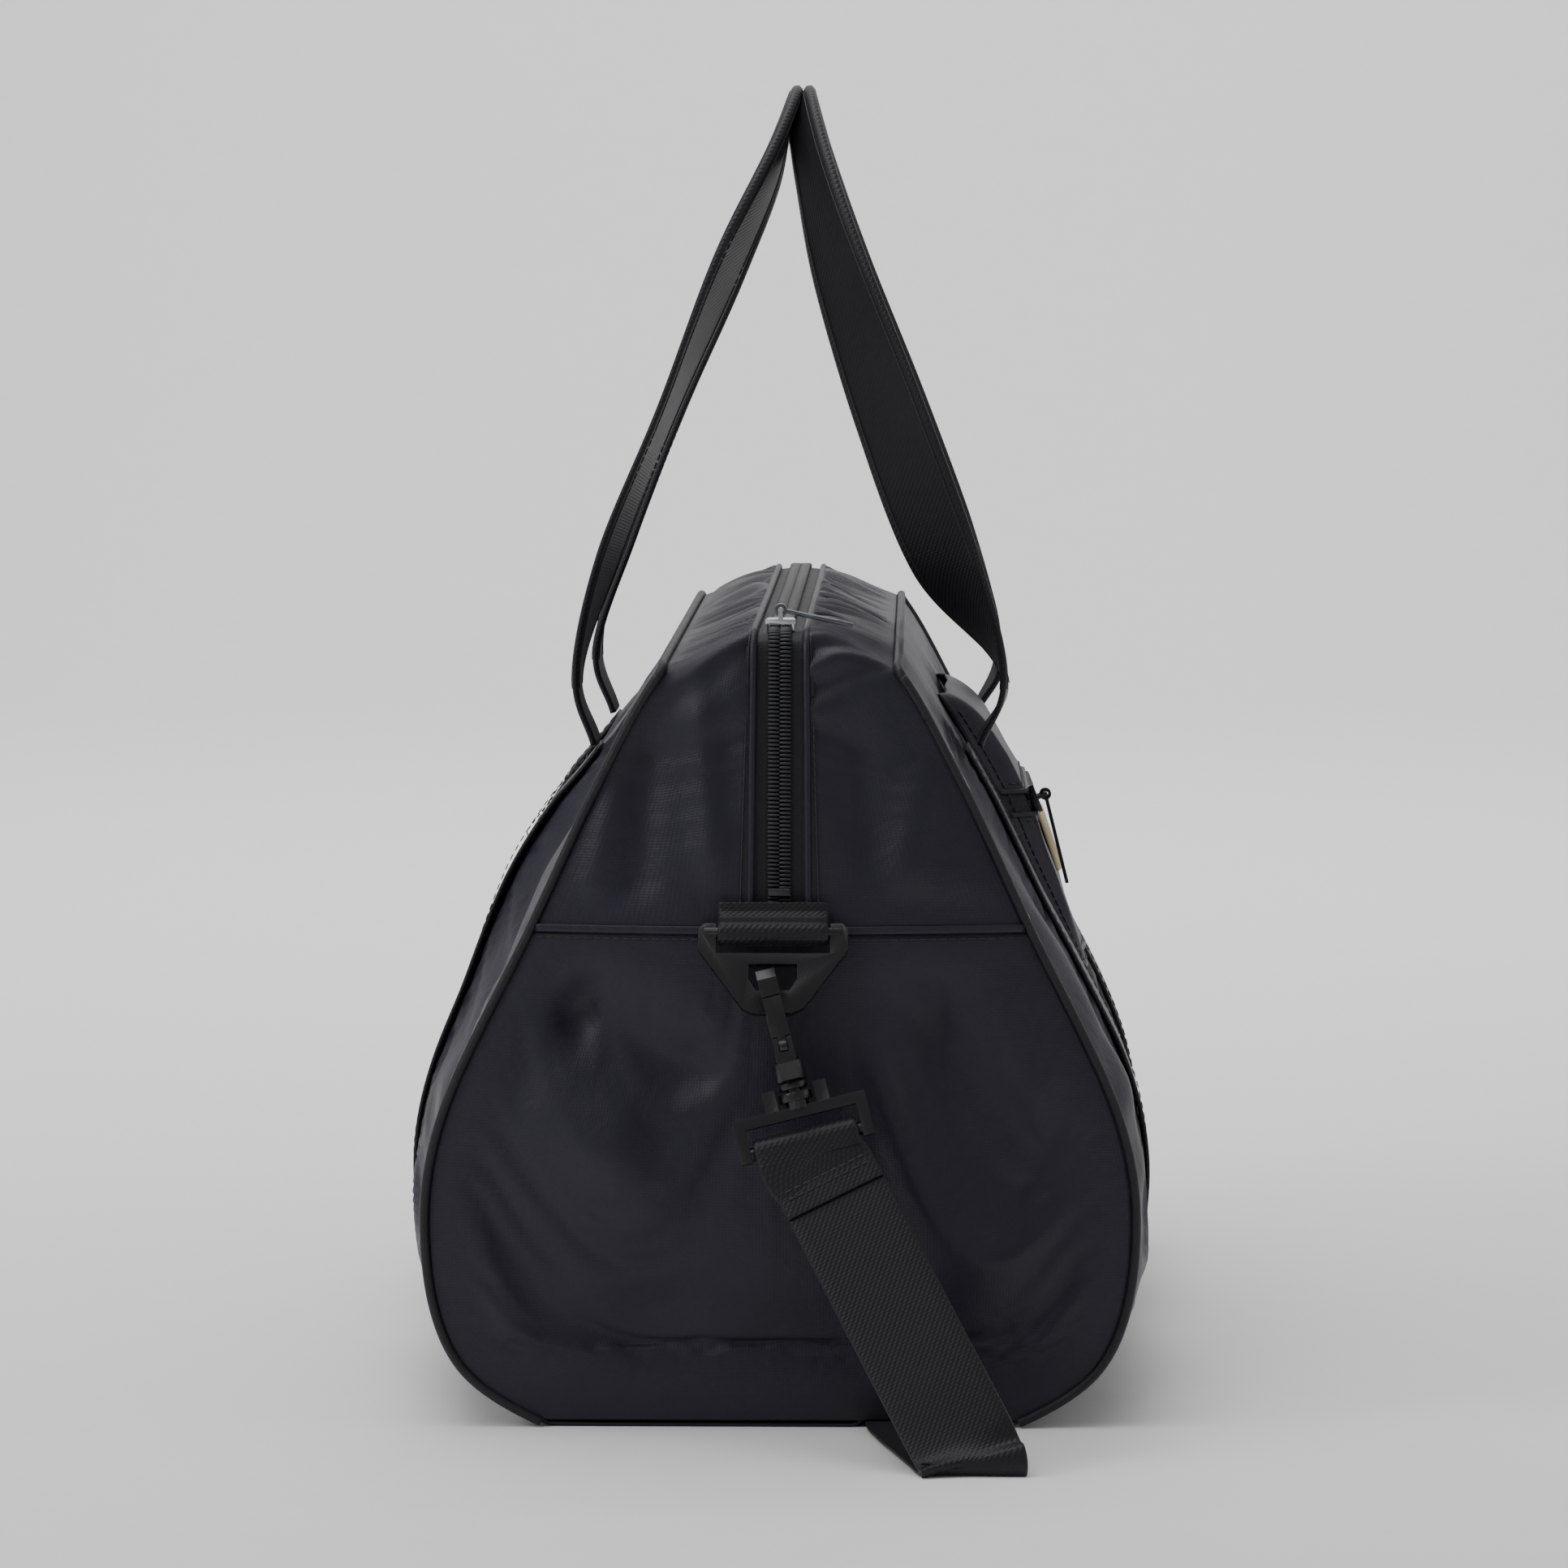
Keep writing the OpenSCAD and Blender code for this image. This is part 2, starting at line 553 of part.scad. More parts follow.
// Middle line of the strap from its near loop to the base, at web_t over two above the ground
lay_z = web_t / 2 + 0.3;
run_pts = [for (i = [0 : 4]) loop_c + run_dir * (strap_start + i * (run_len - strap_start) / 4)];
half_route = concat(run_pts, [[70, -337, 5.4], [69.5, -334, lay_z], [66, -318, lay_z],
    [60, -290, lay_z], [54, -262, lay_z], [strap_x, -232, lay_z], [strap_x, -160, lay_z],
    [strap_x, -80, lay_z]]);
route = concat(half_route, [[strap_x, 0, lay_z]],
    [for (i = [len(half_route) - 1 : -1 : 0]) [half_route[i][0], -half_route[i][1], half_route[i][2]]]);
last = len(route) - 1;
function strap_station(t) =
    let (p = open_along(route, t), a = open_along(route, max(0, t - 0.04)),
        b = open_along(route, min(last, t + 0.04)), d = unit(b - a),
        edge = min(t, last - t), k = clamp((edge - 3.4) / 1.4),
        far_w = [run_w[0], -run_w[1], run_w[2]],
        ref = (1 - k) * (t < last / 2 ? run_w : far_w) + k * [1, 0, 0],
        w = unit(ref - (ref * d) * d), n = cross(d, w), h = w * web_w / 2, v = n * web_t / 2)
    [p - h - v, p + h - v, p + h + v, p - h + v];
strap_steps = concat([0, 1, 2, 3], [for (i = [0 : 20]) 3.5 + i * 0.25], [9, 10, 11, 12, 13]);
module shoulder_strap() {
    ts = concat(strap_steps, [for (i = [len(strap_steps) - 2 : -1 : 0]) last - strap_steps[i]]);
    color(webbing) loft([for (t = ts) strap_station(t)]);
}
adjust_at = 84;
module strap_adjuster() {
    c = loop_c + run_dir * adjust_at;
    n = cross(run_dir, run_w);
    m = [[run_w[0], run_dir[0], n[0], c[0]], [run_w[1], run_dir[1], n[1], c[1]],
        [run_w[2], run_dir[2], n[2], c[2]], [0, 0, 0, 1]];
    lift = web_t / 2 + gap;
    color(plastic) flip_y(true) multmatrix(m) {
        for (y = [-10, 7]) block([-23, y, -lift - 2.4], [23, y + 3, -lift]);
        block([-23, -1.5, lift], [23, 1.5, lift + 2.4]);
        for (side = [-1, 1]) {
            block([side * 21.3 - 1.7, -10, -lift - 2.4], [side * 21.3 + 1.7, 10, -lift]);
            block([side * 21.3 - 1.7, -1.5, -lift - 0.2], [side * 21.3 + 1.7, 1.5, lift + 2.4]);
        }
    }
}

front_side_panel();
back_side_panel();
base_panel();
base_board();
near_end_panel();
far_end_panel();
near_gusset_front();
near_gusset_back();
far_gusset_front();
far_gusset_back();
front_top_piping();
back_top_piping();
near_end_piping();
far_end_piping();
near_zip_tape();
far_zip_tape();
near_zip_coil();
far_zip_coil();
zip_stops();
front_flap();
back_flap();
front_flap_coil();
back_flap_coil();
main_slider();
main_pull();
front_webbing();
back_webbing();
front_handle();
back_handle();
pocket_lower();
pocket_upper();
pocket_sides();
pocket_zip_tape();
pocket_zip_coil();
pocket_badge();
pocket_slider();
pocket_pull();
near_tab();
far_tab();
near_ring();
far_ring();
near_hook();
far_hook();
near_gate();
far_gate();
near_strap_frame();
far_strap_frame();
near_strap_loop();
far_strap_loop();
shoulder_strap();
strap_adjuster();
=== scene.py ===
"""Duffel bag: cloth, webbing, zips and moulded clips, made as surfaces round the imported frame."""

import logging
import math
from dataclasses import dataclass, field
from enum import Enum
from typing import Sequence

import bmesh
import bpy
import numpy as np
from mathutils import Matrix


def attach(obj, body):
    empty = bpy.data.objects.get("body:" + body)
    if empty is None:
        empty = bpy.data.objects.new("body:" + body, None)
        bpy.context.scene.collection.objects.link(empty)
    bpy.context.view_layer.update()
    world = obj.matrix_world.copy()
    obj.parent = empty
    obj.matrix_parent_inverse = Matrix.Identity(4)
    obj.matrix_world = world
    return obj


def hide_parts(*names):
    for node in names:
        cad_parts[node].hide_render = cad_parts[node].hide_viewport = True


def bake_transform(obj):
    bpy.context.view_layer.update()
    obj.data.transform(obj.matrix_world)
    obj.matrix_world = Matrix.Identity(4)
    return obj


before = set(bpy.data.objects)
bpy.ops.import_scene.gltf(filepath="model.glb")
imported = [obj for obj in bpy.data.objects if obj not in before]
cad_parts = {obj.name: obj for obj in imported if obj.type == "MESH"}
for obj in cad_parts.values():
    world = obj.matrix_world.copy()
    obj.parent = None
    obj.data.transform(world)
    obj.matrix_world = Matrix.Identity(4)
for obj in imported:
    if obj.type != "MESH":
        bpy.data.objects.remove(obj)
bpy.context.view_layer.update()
log = logging.getLogger("duffel")
Array = np.ndarray
MM = 0.001


# ---------------------------------------------------------------- materials

def srgb(code: str) -> tuple[float, float, float, float]:
    """Turn an sRGB hex colour into linear red, green, blue and alpha."""
    parts = [int(code[i:i + 2], 16) / 255 for i in (1, 3, 5)]
    return tuple(c / 12.92 if c <= 0.04045 else ((c + 0.055) / 1.055) ** 2.4 for c in parts) + (1,)


def add(tree: bpy.types.NodeTree, kind: str, inputs: dict | None = None, **settings) -> bpy.types.Node:
    """Add a node.

    Args:
        tree: The material's tree.
        kind: The node's type name.
        inputs: Socket name or number to a value, or to the output socket that feeds it.
        settings: Properties of the node itself.

    Returns:
        The new node.
    """
    made = tree.nodes.new(kind)
    for key, value in settings.items():
        setattr(made, key, value)
    for key, value in (inputs or {}).items():
        if isinstance(value, bpy.types.NodeSocket):
            tree.links.new(value, made.inputs[key])
        else:
            made.inputs[key].default_value = value
    return made


def bands_scale(pitch: float) -> float:
    """Wave texture scale that repeats every pitch metres: its phase is 20 times scale times x."""
    return 2 * math.pi / (20 * pitch)


@dataclass(frozen=True)
class Finish:
    """One surface finish; subclasses add what its making gives the eye."""

    name: str
    dark: str
    light: str
    roughness: float

    def pattern(self, tree: bpy.types.NodeTree) -> tuple[bpy.types.NodeSocket | None, float]:
        """Height pattern that feeds the bump, and its depth in metres."""
        return None, 0.0

    def shader(self, tree: bpy.types.NodeTree) -> bpy.types.Node:
        """The Principled shader with this finish's uniform values."""
        return add(tree, "ShaderNodeBsdfPrincipled", {"Roughness": self.roughness})

    def build(self) -> bpy.types.Material:
        """Make the material once and keep it."""
        known = bpy.data.materials.get(self.name)
        if known:
            return known
        made = bpy.data.materials.new(self.name)
        made.use_nodes = True
        tree = made.node_tree
        tree.nodes.clear()
        shader = self.shader(tree)
        place = add(tree, "ShaderNodeTexCoord")
        blotch = add(tree, "ShaderNodeTexNoise", {"Vector": place.outputs["Object"], "Scale": 34.0,
                                                  "Detail": 4.0})
        tint = add(tree, "ShaderNodeMix", {"Factor": blotch.outputs["Fac"]}, data_type="RGBA")
        for key, code in (("A", self.dark), ("B", self.light)):
            next(s for s in tint.inputs if s.name == key and s.type == "RGBA").default_value = srgb(code)
        colour = next(s for s in tint.outputs if s.type == "RGBA")
        tree.links.new(colour, shader.inputs["Base Color"])
        rough = add(tree, "ShaderNodeMapRange", {"Value": blotch.outputs["Fac"],
                                                 "To Min": self.roughness - 0.05,
                                                 "To Max": self.roughness + 0.06})
        tree.links.new(rough.outputs["Result"], shader.inputs["Roughness"])
        height, depth = self.pattern(tree)
        if height is not None:
            bump = add(tree, "ShaderNodeBump", {"Height": height, "Distance": depth, "Strength": 1.0})
            tree.links.new(bump.outputs["Normal"], shader.inputs["Normal"])
        out = add(tree, "ShaderNodeOutputMaterial")
        tree.links.new(shader.outputs["BSDF"], out.inputs["Surface"])
        return made


@dataclass(frozen=True)
class WovenNylon(Finish):
    """Lined nylon with a satin face: fine crossed threads and a faint crumple."""

    thread: float = 0.0011
    crumple: float = 0.016
    depth: float = 0.00006

    def pattern(self, tree: bpy.types.NodeTree) -> tuple[bpy.types.NodeSocket, float]:
        """Threads both ways, drawn at twice their true pitch so they show, over crumple noise."""
        place = add(tree, "ShaderNodeTexCoord")
        waves = [add(tree, "ShaderNodeTexWave", {"Vector": place.outputs["UV"],
                                                 "Scale": bands_scale(self.thread)},
                     bands_direction=way) for way in ("X", "Y")]
        threads = add(tree, "ShaderNodeMath", {0: waves[0].outputs["Fac"], 1: waves[1].outputs["Fac"]},
                      operation="MULTIPLY")
        crumple = add(tree, "ShaderNodeTexNoise", {"Vector": place.outputs["Object"],
                                                   "Scale": 1 / self.crumple, "Detail": 5.0,
                                                   "Roughness": 0.55, "Distortion": 0.4})
        both = add(tree, "ShaderNodeMath", {0: crumple.outputs["Fac"], 1: 14.0,
                                            2: threads.outputs["Value"]}, operation="MULTIPLY_ADD")
        return both.outputs["Value"], self.depth

    def shader(self, tree: bpy.types.NodeTree) -> bpy.types.Node:
        """Satin weave: a soft edge sheen over a low gloss."""
        return add(tree, "ShaderNodeBsdfPrincipled", {"Sheen Weight": 0.05, "Sheen Roughness": 0.4,
                                                      "Sheen Tint": srgb("#8d8aa0"),
                                                      "Specular IOR Level": 0.35})


@dataclass(frozen=True)
class WovenWebbing(Finish):
    """Heavy webbing: diagonal ribs of thick yarn with fine yarns across."""

    rib: float = 0.0016
    yarn: float = 0.0012
    depth: float = 0.00004

    def pattern(self, tree: bpy.types.NodeTree) -> tuple[bpy.types.NodeSocket, float]:
        """Diagonal ribs at 45 degrees to the length, times cross yarns."""
        place = add(tree, "ShaderNodeTexCoord")
        turned = add(tree, "ShaderNodeMapping", {"Vector": place.outputs["UV"],
                                                 "Rotation": (0, 0, math.radians(45))})
        rib = add(tree, "ShaderNodeTexWave", {"Vector": turned.outputs["Vector"],
                                              "Scale": bands_scale(self.rib)}, bands_direction="X")
        yarn = add(tree, "ShaderNodeTexWave", {"Vector": place.outputs["UV"],
                                               "Scale": bands_scale(self.yarn)}, bands_direction="Y")
        both = add(tree, "ShaderNodeMath", {0: rib.outputs["Fac"], 1: 2.2, 2: yarn.outputs["Fac"]},
                   operation="MULTIPLY_ADD")
        return both.outputs["Value"], self.depth

    def shader(self, tree: bpy.types.NodeTree) -> bpy.types.Node:
        """Yarn with a little fuzz that catches light at the edges."""
        return add(tree, "ShaderNodeBsdfPrincipled", {"Sheen Weight": 0.04, "Sheen Roughness": 0.5,
                                                      "Specular IOR Level": 0.3})


@dataclass(frozen=True)
class Moulded(Finish):
    """Injection-moulded plastic or rubber with a fine eroded texture from its mould."""

    grain: float = 0.0009
    depth: float = 0.00005

    def pattern(self, tree: bpy.types.NodeTree) -> tuple[bpy.types.NodeSocket, float]:
        """Fine noise as coarse as it needs to be to show."""
        place = add(tree, "ShaderNodeTexCoord")
        noise = add(tree, "ShaderNodeTexNoise", {"Vector": place.outputs["Object"],
                                                 "Scale": 1 / self.grain, "Detail": 2.0})
        return noise.outputs["Fac"], self.depth


@dataclass(frozen=True)
class PlatedZinc(Finish):
    """Die-cast zinc under bright plating: mirror-like with faint polishing waves."""

    waves: float = 260.0
    depth: float = 0.00005

    def pattern(self, tree: bpy.types.NodeTree) -> tuple[bpy.types.NodeSocket, float]:
        """Long shallow waves left by polishing."""
        place = add(tree, "ShaderNodeTexCoord")
        noise = add(tree, "ShaderNodeTexNoise", {"Vector": place.outputs["Object"], "Scale": self.waves})
        return noise.outputs["Fac"], self.depth

    def shader(self, tree: bpy.types.NodeTree) -> bpy.types.Node:
        """Fully metallic; the metal keeps the default index."""
        return add(tree, "ShaderNodeBsdfPrincipled", {"Metallic": 1.0})


# Nylon satin, woven and lined: a soft sheen, and crumples wider than its threads.
CLOTH = WovenNylon("nylon_satin_woven", "#191623", "#211d2d", 0.46)
# Polypropylene, woven thick: ribs that catch light one by one, and no gloss between them.
WEBBING = WovenWebbing("polypropylene_webbing", "#131217", "#18171d", 0.46)
# Nylon cut on the bias over a cord: the same weave, finer and with less sheen.
PIPING = WovenNylon("corded_binding", "#141418", "#1e1e24", 0.5, 0.0009, 0.008)
# Polyester, knitted flat: dull, with an open grain.
ZIP_TAPE = WovenNylon("knitted_zip_tape", "#121216", "#1b1b20", 0.6, 0.0013, 0.01)
# Nylon thread, wound hot: smooth turns, each with its own small highlight.
COIL = Moulded("nylon_coil", "#18181c", "#26262b", 0.36)
# Acetal, moulded in an eroded tool: a broad soft highlight on a fine grain.
PLASTIC = Moulded("acetal_moulded", "#0c0c0f", "#131317", 0.32)
# Rubber, moulded: matt, with its colour all through.
BADGE = Moulded("rubber_badge", "#bfae86", "#d6c8a4", 0.5)
# Bonded polyester thread: a faint waxy shine on each stitch.
THREAD = Moulded("bonded_thread", "#1b1a20", "#232228", 0.5)
# Zinc, cast and plated bright: near-mirror, with shallow waves from polishing.
ZINC = PlatedZinc("zinc_bright_plated", "#b9bcc2", "#d5d8dc", 0.2)
# Zinc, plated dark: the same waves, under a duller reflection.
GUNMETAL = PlatedZinc("gunmetal_plated", "#55565c", "#6a6b72", 0.3)
# Zinc under black lacquer: a coloured coat, so its highlight is white.
LACQUER = Moulded("black_lacquered_zinc", "#17171a", "#232327", 0.3)
# Polyethylene, rolled into sheet: waxy, with a coarse grain.
BOARD = Moulded("polyethylene_board", "#333338", "#3d3d42", 0.5, 0.002)


# ---------------------------------------------------------------- meshes

def unit(v: Array) -> Array:
    """Scale vectors on the last axis to length one."""
    return v / np.maximum(np.linalg.norm(v, axis=-1, keepdims=True), 1e-12)


def smooth(x: Array | float, lo: float, hi: float) -> Array:
    """Rise from 0 at lo to 1 at hi along the cubic 3t squared minus 2t cubed."""
    t = np.clip((np.asarray(x, float) - lo) / (hi - lo), 0, 1)
    return t * t * (3 - 2 * t)


def spline(points: Sequence[Sequence[float]], t: Array, before: Sequence[float] | None = None,
           after: Sequence[float] | None = None) -> Array:
    """Catmull-Rom curve through points.

    Args:
        points: Control points, one per whole value of t.
        t: Places along the curve.
        before: Point that sets the direction at the start; the first step is repeated if left out.
        after: The same at the end.

    Returns:
        One point per value of t.
    """
    p = np.asarray(points, float)
    first = 2 * p[0] - p[1] if before is None else np.asarray(before, float)
    final = 2 * p[-1] - p[-2] if after is None else np.asarray(after, float)
    q = np.vstack([first, p, final])
    t = np.asarray(t, float)
    i = np.clip(np.floor(t).astype(int), 0, len(p) - 2)
    u = (t - i)[..., None]
    a, b, c, d = q[i], q[i + 1], q[i + 2], q[i + 3]
    return 0.5 * (2 * b + (c - a) * u + (2 * a - 5 * b + 4 * c - d) * u ** 2
                  + (3 * b - a - 3 * c + d) * u ** 3)


def ripple(u: Array, v: Array, size: float, seed: int) -> Array:
    """Smooth noise between about -1 and 1: the mean of six plane waves of wavelength near size."""
    rng = np.random.default_rng(seed)
    turn, phase = rng.uniform(0, math.tau, (2, 6))
    rate = math.tau / (size * rng.uniform(0.7, 1.6, 6))
    waves = np.sin(np.multiply.outer(u, np.cos(turn) * rate) + np.multiply.outer(v, np.sin(turn) * rate)
                   + phase)
    return waves.sum(-1) / 3


def resample(path: Array, step: float) -> Array:
    """Points every step metres along a polyline."""
    gone = np.concatenate([[0], np.cumsum(np.linalg.norm(np.diff(path, axis=0), axis=1))])
    at = np.arange(step / 2, gone[-1], step)
    return np.stack([np.interp(at, gone, path[:, k]) for k in range(path.shape[1])], axis=1)


def eased(path: Array, passes: int) -> Array:
    """Round the corners of a line, or of every column of a grid, and leave its ends where they are.

    Each pass sets a point to a quarter of each neighbour and half of itself.
    """
    out = path.copy()
    for _ in range(passes):
        out[1:-1] = 0.25 * out[:-2] + 0.5 * out[1:-1] + 0.25 * out[2:]
    return out


def bent(corners: Sequence[Sequence[float]], step: float, passes: int) -> Array:
    """A line through corners with a point every step, its bends eased into curves."""
    rough = np.asarray(corners, float)
    gone = np.concatenate([[0], np.cumsum(np.linalg.norm(np.diff(rough, axis=0), axis=1))])
    at = np.linspace(0, gone[-1], max(8, round(gone[-1] / step)))
    return eased(np.stack([np.interp(at, gone, rough[:, k]) for k in range(3)], axis=1), passes)


def new_object(name: str, verts: Array, faces: Array, uv: Array | None, finish: Finish,
               caps: Sequence[Array] = ()) -> bpy.types.Object:
    """Put arrays into a mesh object with smooth faces, one material and an optional UV map."""
    mesh = bpy.data.meshes.new(name)
    mesh.from_pydata(verts.reshape(-1, 3).tolist(), [], faces.tolist() + [c.tolist() for c in caps])
    if uv is not None:
        layer = mesh.uv_layers.new(name="UVMap")
        flat = np.zeros((len(mesh.loops), 2), np.float32)
        flat[:uv.reshape(-1, 2).shape[0]] = uv.reshape(-1, 2)
        layer.data.foreach_set("uv", flat.ravel())
    mesh.polygons.foreach_set("use_smooth", np.ones(len(mesh.polygons), bool))
    mesh.materials.append(finish.build())
    mesh.update()
    made = bpy.data.objects.new(name, mesh)
    bpy.context.collection.objects.link(made)
    return made


def outward(verts: Array, faces: Array, about: Array) -> bool:
    """True if the faces' signed volume about a point is positive, so they point away from it."""
    p = verts.reshape(-1, 3) - about
    a, b, c, d = (p[faces[:, k]] for k in range(4))
    volume = np.einsum("ij,ij->i", a, np.cross(b, c)) + np.einsum("ij,ij->i", a, np.cross(c, d))
    return float(volume.sum()) > 0


def grid_object(name: str, grid: Array, finish: Finish, wrap: bool = False, capped: bool = False,
                about: Sequence[float] | None = None) -> bpy.types.Object:
    """Make a surface from a grid of points.

    Its UV map is in metres: the mean distance across a row, and along the columns.

    Args:
        name: The piece's name.
        grid: Points as rows by columns by three.
        finish: Its finish.
        wrap: Close each row into a loop.
        capped: Close the first and last loops.
        about: A point behind the surface; faces turn away from it. The centre if left out.

    Returns:
        The object.
    """
    rows, cols = grid.shape[:2]
    index = np.arange(rows * cols).reshape(rows, cols)
    wide = np.concatenate([index, index[:, :1]], 1) if wrap else index
    faces = np.stack([wide[:-1, :-1], wide[:-1, 1:], wide[1:, 1:], wide[1:, :-1]], -1).reshape(-1, 4)
    closed = np.concatenate([grid, grid[:, :1]], 1) if wrap else grid
    across = np.linalg.norm(np.diff(closed, axis=1), axis=2).mean(0)
    down = np.linalg.norm(np.diff(grid, axis=0), axis=2).mean(1)
    u = np.concatenate([[0], np.cumsum(across)])
    v = np.concatenate([[0], np.cumsum(down)])
    uv = np.stack(np.broadcast_arrays(u[None, :], v[:, None]), -1)
    loops = np.stack([uv[:-1, :-1], uv[:-1, 1:], uv[1:, 1:], uv[1:, :-1]], -2).reshape(-1, 4, 2)
    centre = grid.reshape(-1, 3).mean(0) if about is None else np.asarray(about, float)
    caps = [index[0][::-1], index[-1]] if capped else []
    if not outward(grid, faces, centre):
        faces, loops, caps = faces[:, ::-1], loops[:, ::-1], [c[::-1] for c in caps]
    return new_object(name, grid, faces, loops, finish, caps)


def thicken(made: bpy.types.Object, depth: float, levels: int = 0) -> bpy.types.Object:
    """Give a surface a wall behind its face, and finer faces if levels is over 0."""
    wall = made.modifiers.new("wall", "SOLIDIFY")
    wall.thickness, wall.offset = depth, -1.0
    if levels:
        finer = made.modifiers.new("finer", "SUBSURF")
        finer.levels = finer.render_levels = levels
    return made


def tube(name: str, path: Array, radius: float, flat_way: Sequence[float], finish: Finish,
         sides: int = 12) -> bpy.types.Object:
    """Round cord along a path: each loop is a circle across the path's direction."""
    ahead = unit(np.gradient(path, axis=0))
    one = unit(np.cross(ahead, np.asarray(flat_way, float)))
    two = np.cross(ahead, one)
    turn = np.linspace(0, math.tau, sides, endpoint=False)
    grid = (path[:, None] + radius * (np.cos(turn)[None, :, None] * one[:, None]
                                      + np.sin(turn)[None, :, None] * two[:, None]))
    return grid_object(name, grid, finish, wrap=True, capped=True)


def ribbon_grid(path: Array, across: Array, width: Array | float, thick: Array | float,
                columns: int = 9) -> Array:
    """Loops of a webbing section swept along a path.

    Each loop is a rounded rectangle: straight faces crowned by a twelfth of the thickness, with
    half-round selvedges.

    Args:
        path: Middle line.
        across: Direction of the width at each point.
        width: Full width at each point.
        thick: Full thickness at each point.
        columns: Points on each face.

    Returns:
        Grid of loops.
    """
    ahead = unit(np.gradient(path, axis=0))
    side = unit(across - np.sum(across * ahead, -1, keepdims=True) * ahead)
    up = np.cross(ahead, side)
    s = np.linspace(-1, 1, columns)
    edge = np.radians([-50.0, 0.0, 50.0])
    flat = np.concatenate([s, 1 + 0 * edge, s[::-1], -1 + 0 * edge])
    bulge = np.concatenate([0 * s, np.cos(edge), 0 * s, -np.cos(edge)])
    lift = np.concatenate([-1 - (1 - s ** 2) / 12, np.sin(edge), 1 + (1 - s ** 2) / 12, -np.sin(edge)])
    w = np.broadcast_to(np.asarray(width, float), len(path))[:, None, None] / 2
    t = np.broadcast_to(np.asarray(thick, float), len(path))[:, None, None] / 2
    across_part = (flat[None, :, None] * (w - t) + bulge[None, :, None] * t) * side[:, None]
    return path[:, None] + across_part + lift[None, :, None] * t * up[:, None]


def ribbon(name: str, path: Array, across: Array, width: Array | float, thick: Array | float,
           finish: Finish, columns: int = 9) -> bpy.types.Object:
    """Closed webbing strip along a path; see ribbon_grid."""
    return grid_object(name, ribbon_grid(path, across, width, thick, columns), finish, True, True)


def bead_shape() -> tuple[Array, Array]:
    """A low capsule along x: five loops of six points and a point at each end."""
    x = np.array([-1.0, -0.8, 0.0, 0.8, 1.0])
    r = np.array([0.35, 0.85, 1.0, 0.85, 0.35])
    turn = np.linspace(0, math.tau, 6, endpoint=False)
    loops = np.stack([np.broadcast_to(x[:, None], (5, 6)), r[:, None] * np.cos(turn),
                      r[:, None] * np.sin(turn)], -1)
    index = np.arange(30).reshape(5, 6)
    wide = np.concatenate([index, index[:, :1]], 1)
    faces = np.stack([wide[:-1, :-1], wide[1:, :-1], wide[1:, 1:], wide[:-1, 1:]], -1).reshape(-1, 4)
    ends = np.array([[0, 1, 2, 3], [0, 3, 4, 5], [27, 26, 25, 24], [29, 28, 27, 24]])
    return loops.reshape(-1, 3), np.vstack([faces, ends])


def beads(name: str, centres: Array, along: Array, up: Array, half: Sequence[float],
          finish: Finish) -> bpy.types.Object:
    """Repeat a small capsule.

    Args:
        name: The piece's name.
        centres: Middle of each capsule.
        along: Direction of each one's long axis.
        up: Direction of its thickness.
        half: Half length, half width and half thickness.
        finish: The finish.

    Returns:
        One object that holds them all.
    """
    shape, faces = bead_shape()
    x = unit(along)
    z = unit(up - np.sum(up * x, -1, keepdims=True) * x)
    y = np.cross(z, x)
    axes = np.stack([x * half[0], y * half[1], z * half[2]], 1)
    verts = centres[:, None] + np.einsum("vk,nkd->nvd", shape, axes)
    steps = (np.arange(len(centres)) * len(shape))[:, None, None]
    every = (faces[None] + steps).reshape(-1, 4)
    if not outward(verts[0], faces, verts[0].mean(0)):
        every = every[:, ::-1]
    return new_object(name, verts, every, None, finish)


def stitches(name: str, paths: Sequence[tuple[Array, Array]], pitch: float = 0.0036,
             half: Sequence[float] = (0.0014, 0.00034, 0.00026)) -> bpy.types.Object:
    """Rows of thread: a capsule at each pitch along each path, lying across that path's normals."""
    spots, ways, ups = [], [], []
    for path, normal in paths:
        both = resample(np.hstack([path, np.broadcast_to(normal, path.shape)]), pitch)
        spots.append(both[:, :3])
        ways.append(np.gradient(both[:, :3], axis=0))
        ups.append(both[:, 3:])
    return beads(name, np.vstack(spots), np.vstack(ways), np.vstack(ups), half, THREAD)


def softened(node: str, finish: Finish, bevel: float) -> bpy.types.Object:
    """Copy a CAD node, join its loose triangles and round its edges as a mould would."""
    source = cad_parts[node]
    mesh = source.data.copy()
    mesh.transform(source.matrix_world)
    work = bmesh.new()
    work.from_mesh(mesh)
    bmesh.ops.remove_doubles(work, verts=work.verts, dist=1e-6)
    bmesh.ops.dissolve_limit(work, angle_limit=math.radians(1.5), verts=work.verts, edges=work.edges)
    work.to_mesh(mesh)
    work.free()
    mesh.materials.clear()
    mesh.materials.append(finish.build())
    mesh.polygons.foreach_set("use_smooth", np.ones(len(mesh.polygons), bool))
    made = bpy.data.objects.new(node + "_soft", mesh)
    bpy.context.collection.objects.link(made)
    edge = made.modifiers.new("edge", "BEVEL")
    edge.width, edge.segments, edge.angle_limit = bevel, 2, math.radians(28)
    edge.use_clamp_overlap = True
    edge.harden_normals = True
    return made


def dress(made: bpy.types.Object, body: str, slot: str, *nodes: str) -> None:
    """Say which body a piece rides and hide the CAD nodes it stands for."""
    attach(made, body)
    if nodes:
        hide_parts(*nodes)


